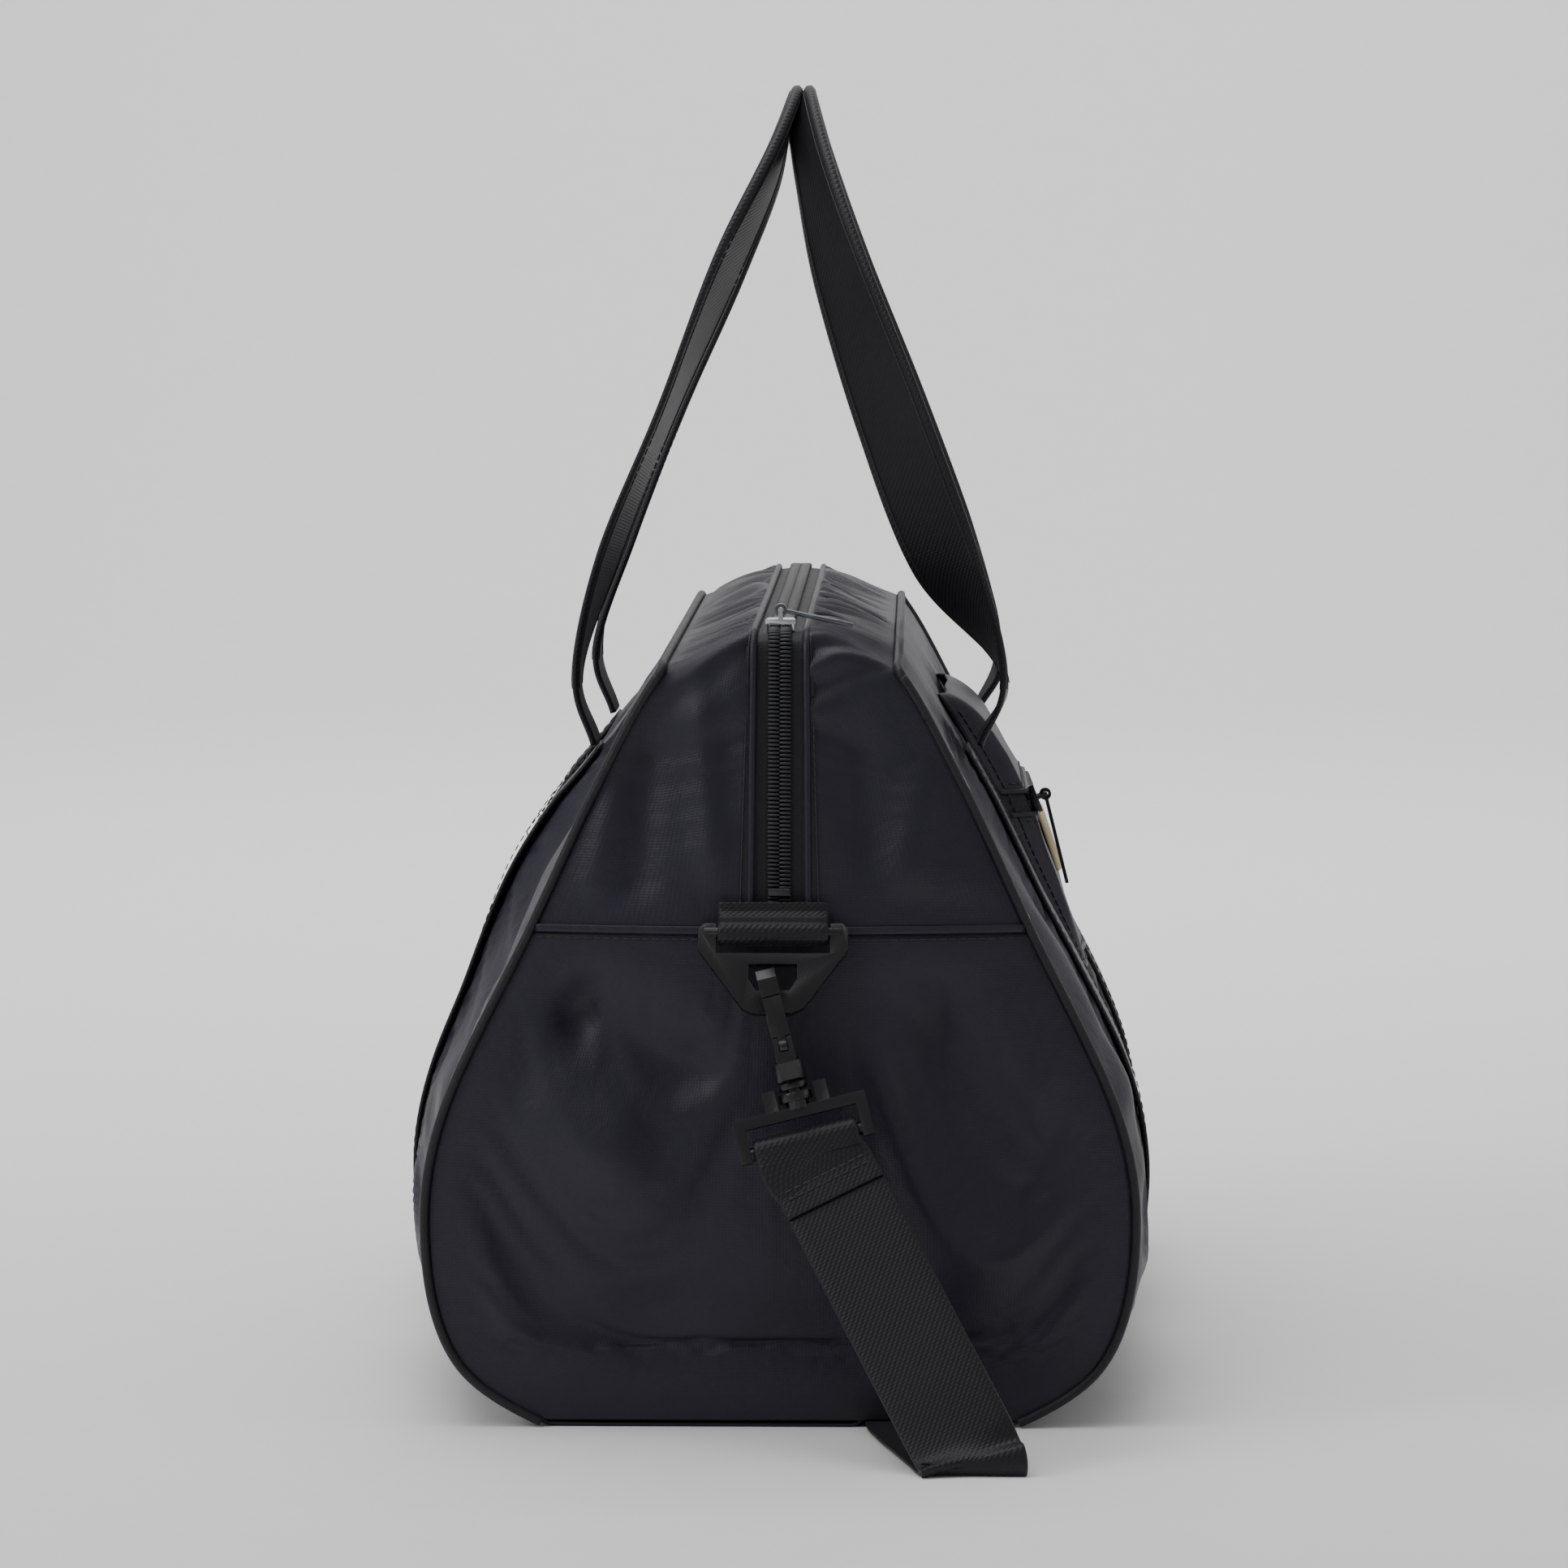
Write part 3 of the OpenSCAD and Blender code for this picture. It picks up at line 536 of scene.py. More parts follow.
def settle(made: bpy.types.Object, held: Array, frames: int, push: float, cap: float,
           weight: float = 1.0) -> None:
    """Let a cloth surface take up its own slack under gravity and the push of what is packed.

    Args:
        made: A surface with no modifiers.
        held: How firmly each point is held by its seams, 0 to 1.
        frames: Steps of the simulation.
        push: Pressure from inside.
        cap: The furthest that a point may move.
        weight: Share of gravity.
    """
    start = np.empty(len(made.data.vertices) * 3)
    made.data.vertices.foreach_get("co", start)
    group = made.vertex_groups.new(name="held")
    for level in np.unique(np.round(held, 2)):
        group.add(np.flatnonzero(np.round(held, 2) == level).tolist(), float(level), "REPLACE")
    cloth = made.modifiers.new("cloth", "CLOTH")
    how = cloth.settings
    how.vertex_group_mass = "held"
    how.quality, how.mass, how.air_damping = 6, 0.35, 2.0
    how.tension_stiffness = how.compression_stiffness = how.shear_stiffness = 18
    how.bending_stiffness = 0.9
    how.use_pressure, how.uniform_pressure_force = True, push
    how.shrink_min = -0.02
    how.effector_weights.gravity = weight
    cloth.point_cache.frame_start, cloth.point_cache.frame_end = 1, frames
    for step in range(1, frames + 1):
        bpy.context.scene.frame_set(step)
    seen = made.evaluated_get(bpy.context.evaluated_depsgraph_get())
    end = np.empty_like(start)
    seen.data.vertices.foreach_get("co", end)
    made.modifiers.remove(cloth)
    made.vertex_groups.remove(group)
    bpy.context.scene.frame_set(1)
    move = (end - start).reshape(-1, 3)
    far = np.linalg.norm(move, axis=1, keepdims=True)
    move *= cap * np.tanh(far / cap) / np.maximum(far, 1e-9)
    made.data.vertices.foreach_set("co", (start + move.ravel()).astype(np.float32))
    made.data.update()


# ---------------------------------------------------------------- form of the body

class Side(Enum):
    """Which long side of the bag: the pocket is at the front."""

    FRONT = 1
    BACK = -1

    @property
    def tag(self) -> str:
        """The side's name in piece names."""
        return self.name.lower()


class End(Enum):
    """Which end of the bag."""

    NEAR = -1
    FAR = 1

    @property
    def tag(self) -> str:
        """The end's name in piece names."""
        return self.name.lower()


@dataclass(frozen=True)
class Fold:
    """A soft fold: a valley or ridge with a bell-shaped section along a straight line.

    The depth fades to nothing at both ends of the line; a negative depth is a valley.
    """

    start: tuple[float, float]
    end: tuple[float, float]
    width: float
    depth: float

    def height(self, u: Array, v: Array) -> Array:
        """Displacement at places (u, v) of the panel."""
        a, b = np.array(self.start), np.array(self.end)
        way = (b - a) / np.linalg.norm(b - a)
        along = ((u - a[0]) * way[0] + (v - a[1]) * way[1]) / np.linalg.norm(b - a)
        off = (u - a[0]) * -way[1] + (v - a[1]) * way[0]
        fade = smooth(along, -0.15, 0.25) * (1 - smooth(along, 0.75, 1.15))
        return self.depth * np.exp(-(off / self.width) ** 2) * fade


@dataclass(frozen=True)
class Form:
    """The body's shape, the same formulas as the CAD shell, in metres."""

    rim: float = 0.238
    dome: float = 0.012
    height: float = 0.292
    back_swell: float = 0.10
    front_swell: float = 0.06
    shoulder_swell: float = 0.12
    shoulder_z: float = 0.195
    seam_z: float = 0.184
    zip_half: float = 0.0087
    top_x: float = 0.043
    top_z: float = 0.2796
    brim_z: float = 0.279
    arch_x: float = 0.042
    panel_y: float = 0.2376
    outline: tuple = ((84, 0), (118, 23), (130, 64), (124, 114), (91, 184), (66, 237), (42, 279))
    leads: tuple = ((50, -8), (15, 300))
    side_folds: dict = field(default_factory=lambda: {
        Side.BACK: (Fold((-0.05, 0.245), (-0.12, 0.06), 0.022, 0.007),
                    Fold((-0.11, 0.235), (-0.19, 0.09), 0.015, -0.006),
                    Fold((0.04, 0.24), (0.0, 0.09), 0.02, -0.006),
                    Fold((0.13, 0.24), (0.19, 0.08), 0.02, -0.007),
                    Fold((0.17, 0.22), (0.12, 0.04), 0.017, 0.005)),
        Side.FRONT: (Fold((-0.14, 0.24), (-0.20, 0.06), 0.018, -0.006),
                     Fold((-0.12, 0.2), (-0.15, 0.05), 0.015, 0.004),
                     Fold((0.14, 0.24), (0.2, 0.07), 0.02, -0.006),
                     Fold((-0.06, 0.11), (0.07, 0.09), 0.014, -0.003)),
    })
    end_folds: dict = field(default_factory=lambda: {
        End.NEAR: (Fold((-0.088, 0.162), (-0.018, 0.128), 0.013, -0.008),
                   Fold((-0.100, 0.126), (-0.030, 0.082), 0.021, 0.008),
                   Fold((-0.066, 0.172), (-0.078, 0.140), 0.008, -0.004),
                   Fold((-0.118, 0.100), (-0.070, 0.060), 0.012, -0.005),
                   Fold((0.040, 0.166), (0.108, 0.084), 0.015, -0.008),
                   Fold((0.024, 0.118), (0.088, 0.052), 0.020, 0.006),
                   Fold((-0.085, 0.046), (0.060, 0.032), 0.018, -0.006)),
        End.FAR: (Fold((0.095, 0.17), (0.02, 0.11), 0.016, -0.006),
                  Fold((-0.09, 0.14), (-0.02, 0.07), 0.018, -0.005),
                  Fold((-0.06, 0.05), (0.08, 0.05), 0.016, 0.004)),
    })

    def edge(self, t: Array) -> Array:
        """Outline of the end at place t, 0 at the base corner to 6 at the piping, as x and z."""
        return spline(self.outline, t, *self.leads) * MM

    def half_width(self, z: Array) -> Array:
        """Half width of the end at height z, read off the outline."""
        line = self.edge(np.linspace(0, 6, 241))
        return np.interp(z, line[:, 1], line[:, 0])

    def swell(self, side: Side, y: Array, z: Array) -> Array:
        """How much wider than its end the body is: a parabola along y, with a packed shoulder behind."""
        more = self.front_swell if side is Side.FRONT else (
            self.back_swell + self.shoulder_swell * np.exp(-((z - self.shoulder_z) / 0.040) ** 2))
        return 1 + (more * (1 - (y / self.rim) ** 2) * np.clip(z / 0.050, 0, 1)
                    * np.clip((self.brim_z - z) / 0.060, 0, 1))

    def side(self, side: Side, t: Array, y: Array, off: Array | float = 0.0,
             creased: bool = True) -> Array:
        """Points of a long side panel.

        Args:
            side: Front or back.
            t: Places along the outline.
            y: Places along the bag.
            off: Distance outward from the panel's face.
            creased: Add the soft folds.

        Returns:
            Points.
        """
        p = self.edge(t)
        way = unit(self.edge(t + 0.02) - self.edge(t - 0.02))
        wide = p[..., 0] * self.swell(side, y, p[..., 1])
        lift = off + (self.side_crease(side, y, p[..., 1]) if creased else 0.0)
        return np.stack([side.value * (wide + way[..., 1] * lift), y + 0 * wide,
                         p[..., 1] - way[..., 0] * lift], -1)

    def side_crease(self, side: Side, y: Array, z: Array) -> Array:
        """Folds and slack of a long side, fading out at its seams."""
        held = smooth(z, 0.0, 0.05) * (1 - smooth(z, 0.235, 0.275)) * (1 - smooth(abs(y), 0.20, 0.236))
        bumps = sum(f.height(y, z) for f in self.side_folds[side])
        slack = 0.0018 * ripple(y, z, 0.11, 3 + side.value) + 0.0007 * ripple(y, z * 1.4, 0.04, 9)
        webbed = 0.85 * smooth(0.038 - abs(abs(y) - 0.085), 0.0, 0.016)
        return held * (bumps + slack) * (1 - webbed)

    def arch(self, x: Array) -> Array:
        """Height of the top between the piping lines: a quarter cosine each side of the zip."""
        turn = np.clip(abs(x) / self.arch_x, 0, 1) * math.pi / 2
        return self.brim_z + (self.height - self.brim_z) * np.cos(turn)

    def end(self, end: End, x: Array, z: Array, half: Array, lift: Array | float = 0.0) -> Array:
        """Points of an end: a dome, parabolic across and a half sine up, pushed out by lift."""
        out = self.rim + self.dome * (1 - (x / half) ** 2) * np.sin(np.clip(z / self.height, 0, 1)
                                                                    * math.pi)
        return np.stack(np.broadcast_arrays(x, end.value * (out + lift), z), -1)

    def end_crease(self, end: End, x: Array, z: Array, half: Array) -> Array:
        """Folds and slack of an end panel, nothing at its rim, its seam and behind the clip."""
        held = (1 - smooth(abs(x) / half, 0.72, 0.98)) * smooth(z, 0.003, 0.04)
        held = held * (1 - smooth(z, 0.150, 0.182))
        bumps = sum(f.height(x, z) for f in self.end_folds[end])
        slack = 0.0016 * ripple(x, z, 0.09, 21 + end.value) + 0.0006 * ripple(x, z, 0.035, 5)
        behind = 1 - smooth(0.060 - abs(x), 0.0, 0.03) * smooth(z, 0.07, 0.10)
        total = held * (bumps + slack)
        return np.where(total > 0, total * behind, total)


FORM = Form()
BODY_CENTRE = (0.0, 0.0, 0.13)


# ---------------------------------------------------------------- sub-assemblies

@dataclass
class Shell:
    """Side panels, base, ends and piping: the sewn shell that doesn't open."""

    wall: float = 0.0014
    base_wall: float = 0.0013
    base_y: float = 0.2372
    piping: float = 0.0017
    rows: int = 96
    columns: int = 150

    def sides(self) -> None:
        """Long panels from the base to the top piping, sagging between the seams."""
        for side in Side:
            t, y = np.meshgrid(np.linspace(0.04, 5.985, self.rows),
                               np.linspace(-FORM.panel_y, FORM.panel_y, self.columns), indexing="ij")
            made = grid_object(f"{side.tag}_panel_cloth", FORM.side(side, t, y), CLOTH,
                               about=BODY_CENTRE)
            z = FORM.edge(t)[..., 1]
            webbed = smooth(0.030 - abs(abs(y) - 0.085), 0.0, 0.012)
            held = np.maximum(1 - smooth(z, 0.012, 0.045) * (1 - smooth(z, 0.235, 0.262))
                              * (1 - smooth(abs(y), 0.205, 0.233)), webbed)
            settle(made, held.ravel(), 18, 0.25, 0.004)
            thicken(made, self.wall)
            dress(made, "bag", "cloth", f"{side.tag}_side_panel")
            log.info("%s panel", side.name)

    def base(self) -> None:
        """Flat base with its channel over the strap, turned up a little at both long edges."""
        x = np.array([-90, -85, -66, -30, 0, 26, 28.5, 30.5, 33, 50, 72, 85, 90]) * MM
        z = np.array([2.6, 0.5, 0.1, 0.1, 0.1, 0.1, 0.6, 2.6, 3.1, 3.1, 3.1, 3.1, 3.4]) * MM
        y = np.linspace(-self.base_y, self.base_y, 60)
        grid = np.stack(np.broadcast_arrays(x[None], y[:, None], z[None]), -1)
        made = thicken(grid_object("base_cloth", grid, CLOTH, about=BODY_CENTRE), self.base_wall)
        dress(made, "bag", "cloth", "base_panel")
        log.info("base")

    def lower_end(self, end: End) -> None:
        """End panel below the cross seam."""
        t, s = np.meshgrid(np.linspace(0.16, 3.99, 80), np.linspace(-1, 1, 96), indexing="ij")
        p = FORM.edge(t)
        half = p[..., 0] - 0.0006
        x = s * half
        grid = FORM.end(end, x, p[..., 1], half, FORM.end_crease(end, x, p[..., 1], half))
        made = grid_object(f"{end.tag}_end_cloth", grid, CLOTH, about=BODY_CENTRE)
        held = 1 - (1 - smooth(abs(s), 0.78, 0.97)) * smooth(p[..., 1], 0.012, 0.04) * (
            1 - smooth(p[..., 1], 0.145, 0.178))
        settle(made, held.ravel(), 18, 0.1, 0.003)
        thicken(made, self.wall)
        dress(made, "bag", "cloth", f"{end.tag}_end_panel")
        log.info("%s end", end.name)

    def cross_seam(self, end: End) -> None:
        """Welt of folded cloth along the cross seam, with its row of stitches below."""
        x = np.linspace(-0.089, 0.089, 90)
        half = float(FORM.half_width(np.array(FORM.seam_z)))
        path = FORM.end(end, x, np.full_like(x, FORM.seam_z), half, 0.0009)
        made = ribbon(f"{end.tag}_seam_welt", path, np.tile([0, 0, 1.0], (90, 1)), 0.0030,
                      0.0011, CLOTH, 5)
        for piece in (made, stitches(f"{end.tag}_seam_thread", [
                (FORM.end(end, x, np.full_like(x, FORM.seam_z - 0.0034), half, 0.0004),
                 np.array([0, end.value, 0.0]))])):
            dress(piece, "bag", "cloth")

    def cords(self) -> None:
        """Piping round each end and along each side of the mouth."""
        for end in End:
            for side in Side:
                t = np.linspace(0.10, 5.9, 150)
                path = FORM.side(side, t, np.full_like(t, end.value * (FORM.rim + 0.0006)), -0.0002,
                                 False)
                made = tube(f"{end.tag}_{side.tag}_end_cord", path, self.piping,
                            (0, 1, 0), PIPING)
                dress(made, "bag", "piping", f"{end.tag}_end_piping")
        for side in Side:
            rise = FORM.side(side, np.linspace(5.5, 5.9, 6), np.full(6, -FORM.rim - 0.0006), -0.0002,
                             False)
            turn = [[side.value * 0.0424, -FORM.panel_y, 0.2786],
                    [side.value * FORM.top_x, -0.229, FORM.top_z]]
            half = np.vstack([rise, turn])
            path = bent(np.vstack([half, half[::-1] * [1, -1, 1]]), 0.0016, 6)
            made = tube(f"{side.tag}_top_cord", path, self.piping, (side.value * 0.6, 0, 0.8),
                        PIPING)
            dress(made, "bag", "piping", f"{side.tag}_top_piping")

    def build(self) -> None:
        """Every piece of the shell."""
        self.sides()
        self.base()
        for end in End:
            self.lower_end(end)
            self.cross_seam(end)
        self.cords()
        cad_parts["base_board"].data.materials.clear()
        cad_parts["base_board"].data.materials.append(BOARD.build())


@dataclass
class Mouth:
    """Gusset strips, zip tape and coil, from the cross seam of one end over the top to the other."""

    closed_y: float = 0.214
    open_y: float = 0.150
    tape: float = 0.0010
    coil_pitch: float = 0.0015
    coil_z: float = 0.0004
    ease: int = 60
    brow: dict = field(default_factory=lambda: {
        End.NEAR: (Fold((-0.030, 0.275), (-0.024, 0.200), 0.006, 0.0028),
                   Fold((-0.046, 0.262), (-0.052, 0.192), 0.007, -0.0026),
                   Fold((-0.062, 0.235), (-0.070, 0.190), 0.006, 0.0022),
                   Fold((0.026, 0.262), (0.034, 0.200), 0.008, -0.0022),
                   Fold((0.052, 0.245), (0.046, 0.195), 0.008, 0.0020)),
        End.FAR: (Fold((-0.034, 0.270), (-0.028, 0.200), 0.007, -0.0024),
                  Fold((0.030, 0.272), (0.038, 0.195), 0.007, 0.0024)),
    })

    def strip(self, end: End, side: Side, q: Array, steps: int, lift: Array | float = 0.0) -> Array:
        """Surface of the strip beside the zip, from the cross seam to mid length.

        The path goes up the end's dome and along the arch, and its corner is eased into a curve.
        q says how far out from the zip a line runs: 0 at the zip's bare edge, 1 at the piping, and
        -1 at the middle of the zip.

        Args:
            end: Near or far.
            side: Front or back.
            q: Places across.
            steps: Points along the path.
            lift: Distance out of the surface.

        Returns:
            Grid, steps by the length of q.
        """
        rise = FORM.height - FORM.seam_z
        s = np.linspace(0, rise + FORM.rim + 0.006, steps)[:, None]
        climb = np.clip(s / rise, 0, 1)
        edge = FORM.half_width(FORM.seam_z + climb * (FORM.brim_z - FORM.seam_z)) - 0.0002
        zip_x = FORM.zip_half
        x = np.where(q[None, :] < 0, zip_x * (1 + q[None, :]), zip_x + (edge - zip_x) * q[None, :])
        height = FORM.seam_z + climb * (FORM.arch(x) - FORM.seam_z)
        out = FORM.rim + FORM.dome * (1 - (x / edge) ** 2) * np.sin(
            np.clip(height / FORM.height, 0, 1) * math.pi)
        out = np.where(s > rise, np.clip(FORM.rim - (s - rise) + 0.006 * (1 - climb), 0, None), out)
        sharp = np.stack([side.value * x, end.value * out, height], -1)
        flat = eased(sharp, round(self.ease * (steps / 330) ** 2))
        normal = end.value * unit(np.cross(np.gradient(flat, axis=0), [1.0, 0, 0]))
        return flat + normal * np.asarray(lift)[..., None]

    def pucker(self, end: End, side: Side, q: Array, steps: int) -> Array:
        """Height of the gathers and folds.

        Gathers are waves along the zip that die out towards the piping and run together as they do,
        strong over the top and faint down the end. The end also has a few upright folds.
        """
        rise = FORM.height - FORM.seam_z
        s = np.linspace(0, 1, steps)[:, None] * (rise + FORM.rim + 0.006)
        out = q[None]
        drift = 0.8 * ripple(s, out * 0.02, 0.055, 31 + end.value + 3 * side.value)
        wave = np.sin(math.tau * (s / 0.0155 + drift - 0.4 * out)) * (1 - 0.55 * smooth(out, 0.2, 0.9))
        strong = 0.10 + 0.90 * smooth(s, rise - 0.055, rise - 0.012)
        near = np.exp(-np.clip(out, 0, 1) * 1.1) * smooth(out, 0.0, 0.08) * (1 - smooth(out, 0.75, 0.97))
        big = 0.0019 * ripple(s, out * 0.04, 0.06, 47 + end.value - side.value)
        held = smooth(out, 0, 0.25) * (1 - smooth(out, 0.75, 1.0))
        place = self.strip(end, side, q, steps)
        upright = sum(f.height(place[..., 0], place[..., 2]) for f in self.brow[end])
        upright = upright * (1 - smooth(s, rise - 0.015, rise + 0.01))
        stand = upright * smooth(out, 0, 0.15) * (1 - smooth(out, 0.8, 1.0))
        return (0.0017 * wave * near * strong + 1.3 * stand + 0.8 * big * held) * smooth(s, 0.004, 0.02)

    def share(self, made: bpy.types.Object, end: End, side: Side, slot: str, *nodes: str) -> None:
        """Bake a strip piece's placement into its mesh and hide the CAD nodes it stands for."""
        f"{side.tag}_flap"
        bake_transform(made)
        if nodes:
            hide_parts(*nodes)

    def line(self, end: End, side: Side, q: float, lift: float, steps: int = 260,
             start: float = 0.0) -> Array:
        """One line along the strip, from start metres above the cross seam."""
        path = self.strip(end, side, np.array([q]), steps, lift)[:, 0]
        gone = np.concatenate([[0], np.cumsum(np.linalg.norm(np.diff(path, axis=0), axis=1))])
        return path[gone >= start]

    def half(self, end: End, side: Side) -> None:
        """Gusset cloth, tape, coil and thread on one side of one half of the zip."""
        tag = f"{end.tag}_{side.tag}"
        q = np.concatenate([np.linspace(0, 0.3, 12), np.linspace(0.34, 1.0, 18)])
        grid = self.strip(end, side, q, 330, self.pucker(end, side, q, 330))
        cloth = thicken(grid_object(f"{tag}_gusset_cloth", grid, CLOTH, about=(0, 0, 0.15)), 0.0013)
        flap = [f"{side.tag}_flap"] if end is End.NEAR else []
        self.share(cloth, end, side, "cloth", f"{end.tag}_gusset_{side.tag}", *flap)
        hem = self.line(end, side, 0.02, 0.0004)
        ahead = unit(np.gradient(hem, axis=0))
        lip = tube(f"{tag}_zip_lip", hem + [side.value * 0.0002, 0, 0], 0.0013, (1, 0, 0), CLOTH, 8)
        self.share(lip, end, side, "cloth")
        tape = self.strip(end, side, np.linspace(-0.93, 0.1, 8), 200, -0.0008)[1:]
        band = thicken(grid_object(f"{tag}_zip_tape", tape, ZIP_TAPE, about=(0, 0, 0.15)), self.tape)
        self.share(band, end, side, "zip_tape", f"{end.tag}_zip_tape")
        self.coil(end, side, tag)
        normal = np.cross(ahead, [1.0, 0, 0]) * -end.value
        row = self.line(end, side, 0.07, 0.0006)
        thread = stitches(f"{tag}_zip_thread", [(row, normal[:len(row)])])
        self.share(thread, end, side, "cloth")

    def coil(self, end: End, side: Side, tag: str) -> None:
        """Coil turns that mesh with the other side's: staggered by half a pitch."""
        path = self.line(end, side, -0.76, self.coil_z, 400, start=0.008)
        spots = resample(path, self.coil_pitch)
        if side is Side.BACK:
            spots = spots + 0.5 * np.gradient(spots, axis=0)
        way = np.tile([1.0, 0, 0], (len(spots), 1))
        up = np.cross(unit(np.gradient(spots, axis=0)), way)
        turns = beads(f"{tag}_zip_coil", spots, way, up, (0.0023, 0.00062, 0.0009), COIL)
        flap = [f"{side.tag}_flap_coil"] if end is End.NEAR else []
        self.share(turns, end, side, "zip_coil", f"{end.tag}_zip_coil", *flap)

    def build(self) -> None:
        """Both sides of both halves, the stops, the slider and its pull."""
        for end in End:
            for side in Side:
                self.half(end, side)
                log.info("zip half %s %s", end.name, side.name)
        for node, body, finish, bevel in (("zip_stops", "bag", LACQUER, 0.0004),
                                          ("main_slider", "main_slider", ZINC, 0.0004),
                                          ("main_pull", "main_pull", GUNMETAL, 0.0003)):
            dress(softened(node, finish, bevel), body, "slider_metal", node)


@dataclass
class Handles:
    """The two carrying handles and the webbing strips that carry their load down the panels."""

    width: float = 0.038
    thick: float = 0.0024
    thread_foot: float = 0.262
    leg_y: float = 0.085
    sewn: float = 0.0155
    thread_lift: float = 0.0022
    stations: dict = field(default_factory=lambda: {
        Side.FRONT: ((74, -85, 240, 38, 0), (83, -85, 266, 38, 0), (60, -85, 311, 37, 46),
                     (39, -79, 366, 36, 50), (20, -63, 420, 31, 45), (9, -36, 460, 25, 38),
                     (4, 0, 483, 22, 36)),
        Side.BACK: ((74, -85, 240, 38, 0), (81, -85, 266, 38, 0), (69, -85, 311, 38, 10),
                    (47, -79, 366, 36, 8), (25, -63, 420, 31, 16), (7.5, -36, 460, 25, 8),
                    (1, 0, 483, 22, -6)),
    })

    def loop(self, side: Side) -> tuple[Array, Array, Array]:
        """Middle line, width direction and width of a handle, from the CAD loop's stations."""
        lower = np.array(self.stations[side], float)
        rest = lower[-2::-1] * [1, -1, 1, 1, 1]
        found = spline(np.vstack([lower, rest]), np.linspace(0, 12, 240))
        path = found[:, :3] * MM
        ahead = unit(np.gradient(path, axis=0))
        lean = unit(np.array([0.96, 0, 0.26]))
        flat = unit(np.cross(lean, ahead))
        twist = np.radians(found[:, 4:5])
        across = np.cos(twist) * flat + np.sin(twist) * lean
        mirror = np.array([side.value, 1, 1])
        return path * mirror, across * mirror, found[:, 3] * MM

    def handle(self, side: Side) -> None:
        """Webbing loop; towards its crown it folds over itself into a thicker, narrower grip."""
        path, across, width = self.loop(side)
        folded = smooth(self.width - width, 0.003, 0.012)
        tag = side.tag
        made = ribbon(f"{tag}_handle_webbing", path, across, width, self.thick + 0.0022 * folded,
                      WEBBING, 11)
        dress(made, f"{tag}_handle", "webbing", f"{tag}_handle")
        side_way = unit(across)
        up = np.cross(unit(np.gradient(path, axis=0)), side_way)
        clear = path[:, 2] > self.thread_foot
        rows = [((path + side_way * (k * (width[:, None] / 2 - 0.0035)) + up * j
                  * (self.thick / 2 + 0.0011 * folded[:, None] + 0.0002))[clear], (up * j)[clear])
                for k in (-1, 1) for j in (-1, 1)]
        dress(stitches(f"{tag}_handle_thread", rows, 0.0045), f"{tag}_handle", "webbing")

    def strips(self, side: Side) -> None:
        """Webbing sewn down the panel below each handle leg, with a stitched box at the top."""
        tag = side.tag
        rows: list[tuple[Array, Array]] = []
        for leg, name in ((-self.leg_y, "near"), (self.leg_y, "far")):
            t = np.linspace(0.35, 5.02, 120)
            middle = FORM.side(side, t, np.full_like(t, leg), 0.0012)
            made = ribbon(f"{tag}_{name}_strip", middle, np.tile([0, 1.0, 0], (120, 1)), self.width,
                          0.0018, WEBBING)
            dress(made, "bag", "webbing", f"{tag}_webbing")
            for k in (-1, 1):
                line = FORM.side(side, t, np.full_like(t, leg + k * self.sewn),
                                 self.thread_lift)
                rows.append((line, line - FORM.side(side, t, line[:, 1], -0.01)))
            rows += self.box(side, leg)
        dress(stitches(f"{tag}_strip_thread", rows, 0.0042), "bag", "webbing")

    def box(self, side: Side, leg: float) -> list[tuple[Array, Array]]:
        """A square with its diagonals, sewn through the top of a strip."""
        low, high, half = 4.32, 4.90, self.sewn
        corners = [(low, -half), (low, half), (high, half), (high, -half)]
        lines = [(0, 1), (2, 3), (0, 2), (1, 3)]
        made = []
        for a, b in lines:
            k = np.linspace(0, 1, 14)
            t = corners[a][0] + k * (corners[b][0] - corners[a][0])
            y = leg + corners[a][1] + k * (corners[b][1] - corners[a][1])
            outer = FORM.side(side, t, y, self.thread_lift)
            made.append((outer, outer - FORM.side(side, t, y, -0.01)))
        return made

    def build(self) -> None:
        """Both handles and all four strips."""
        for side in Side:
            self.handle(side)
            self.strips(side)
            log.info("%s handle", side.name)


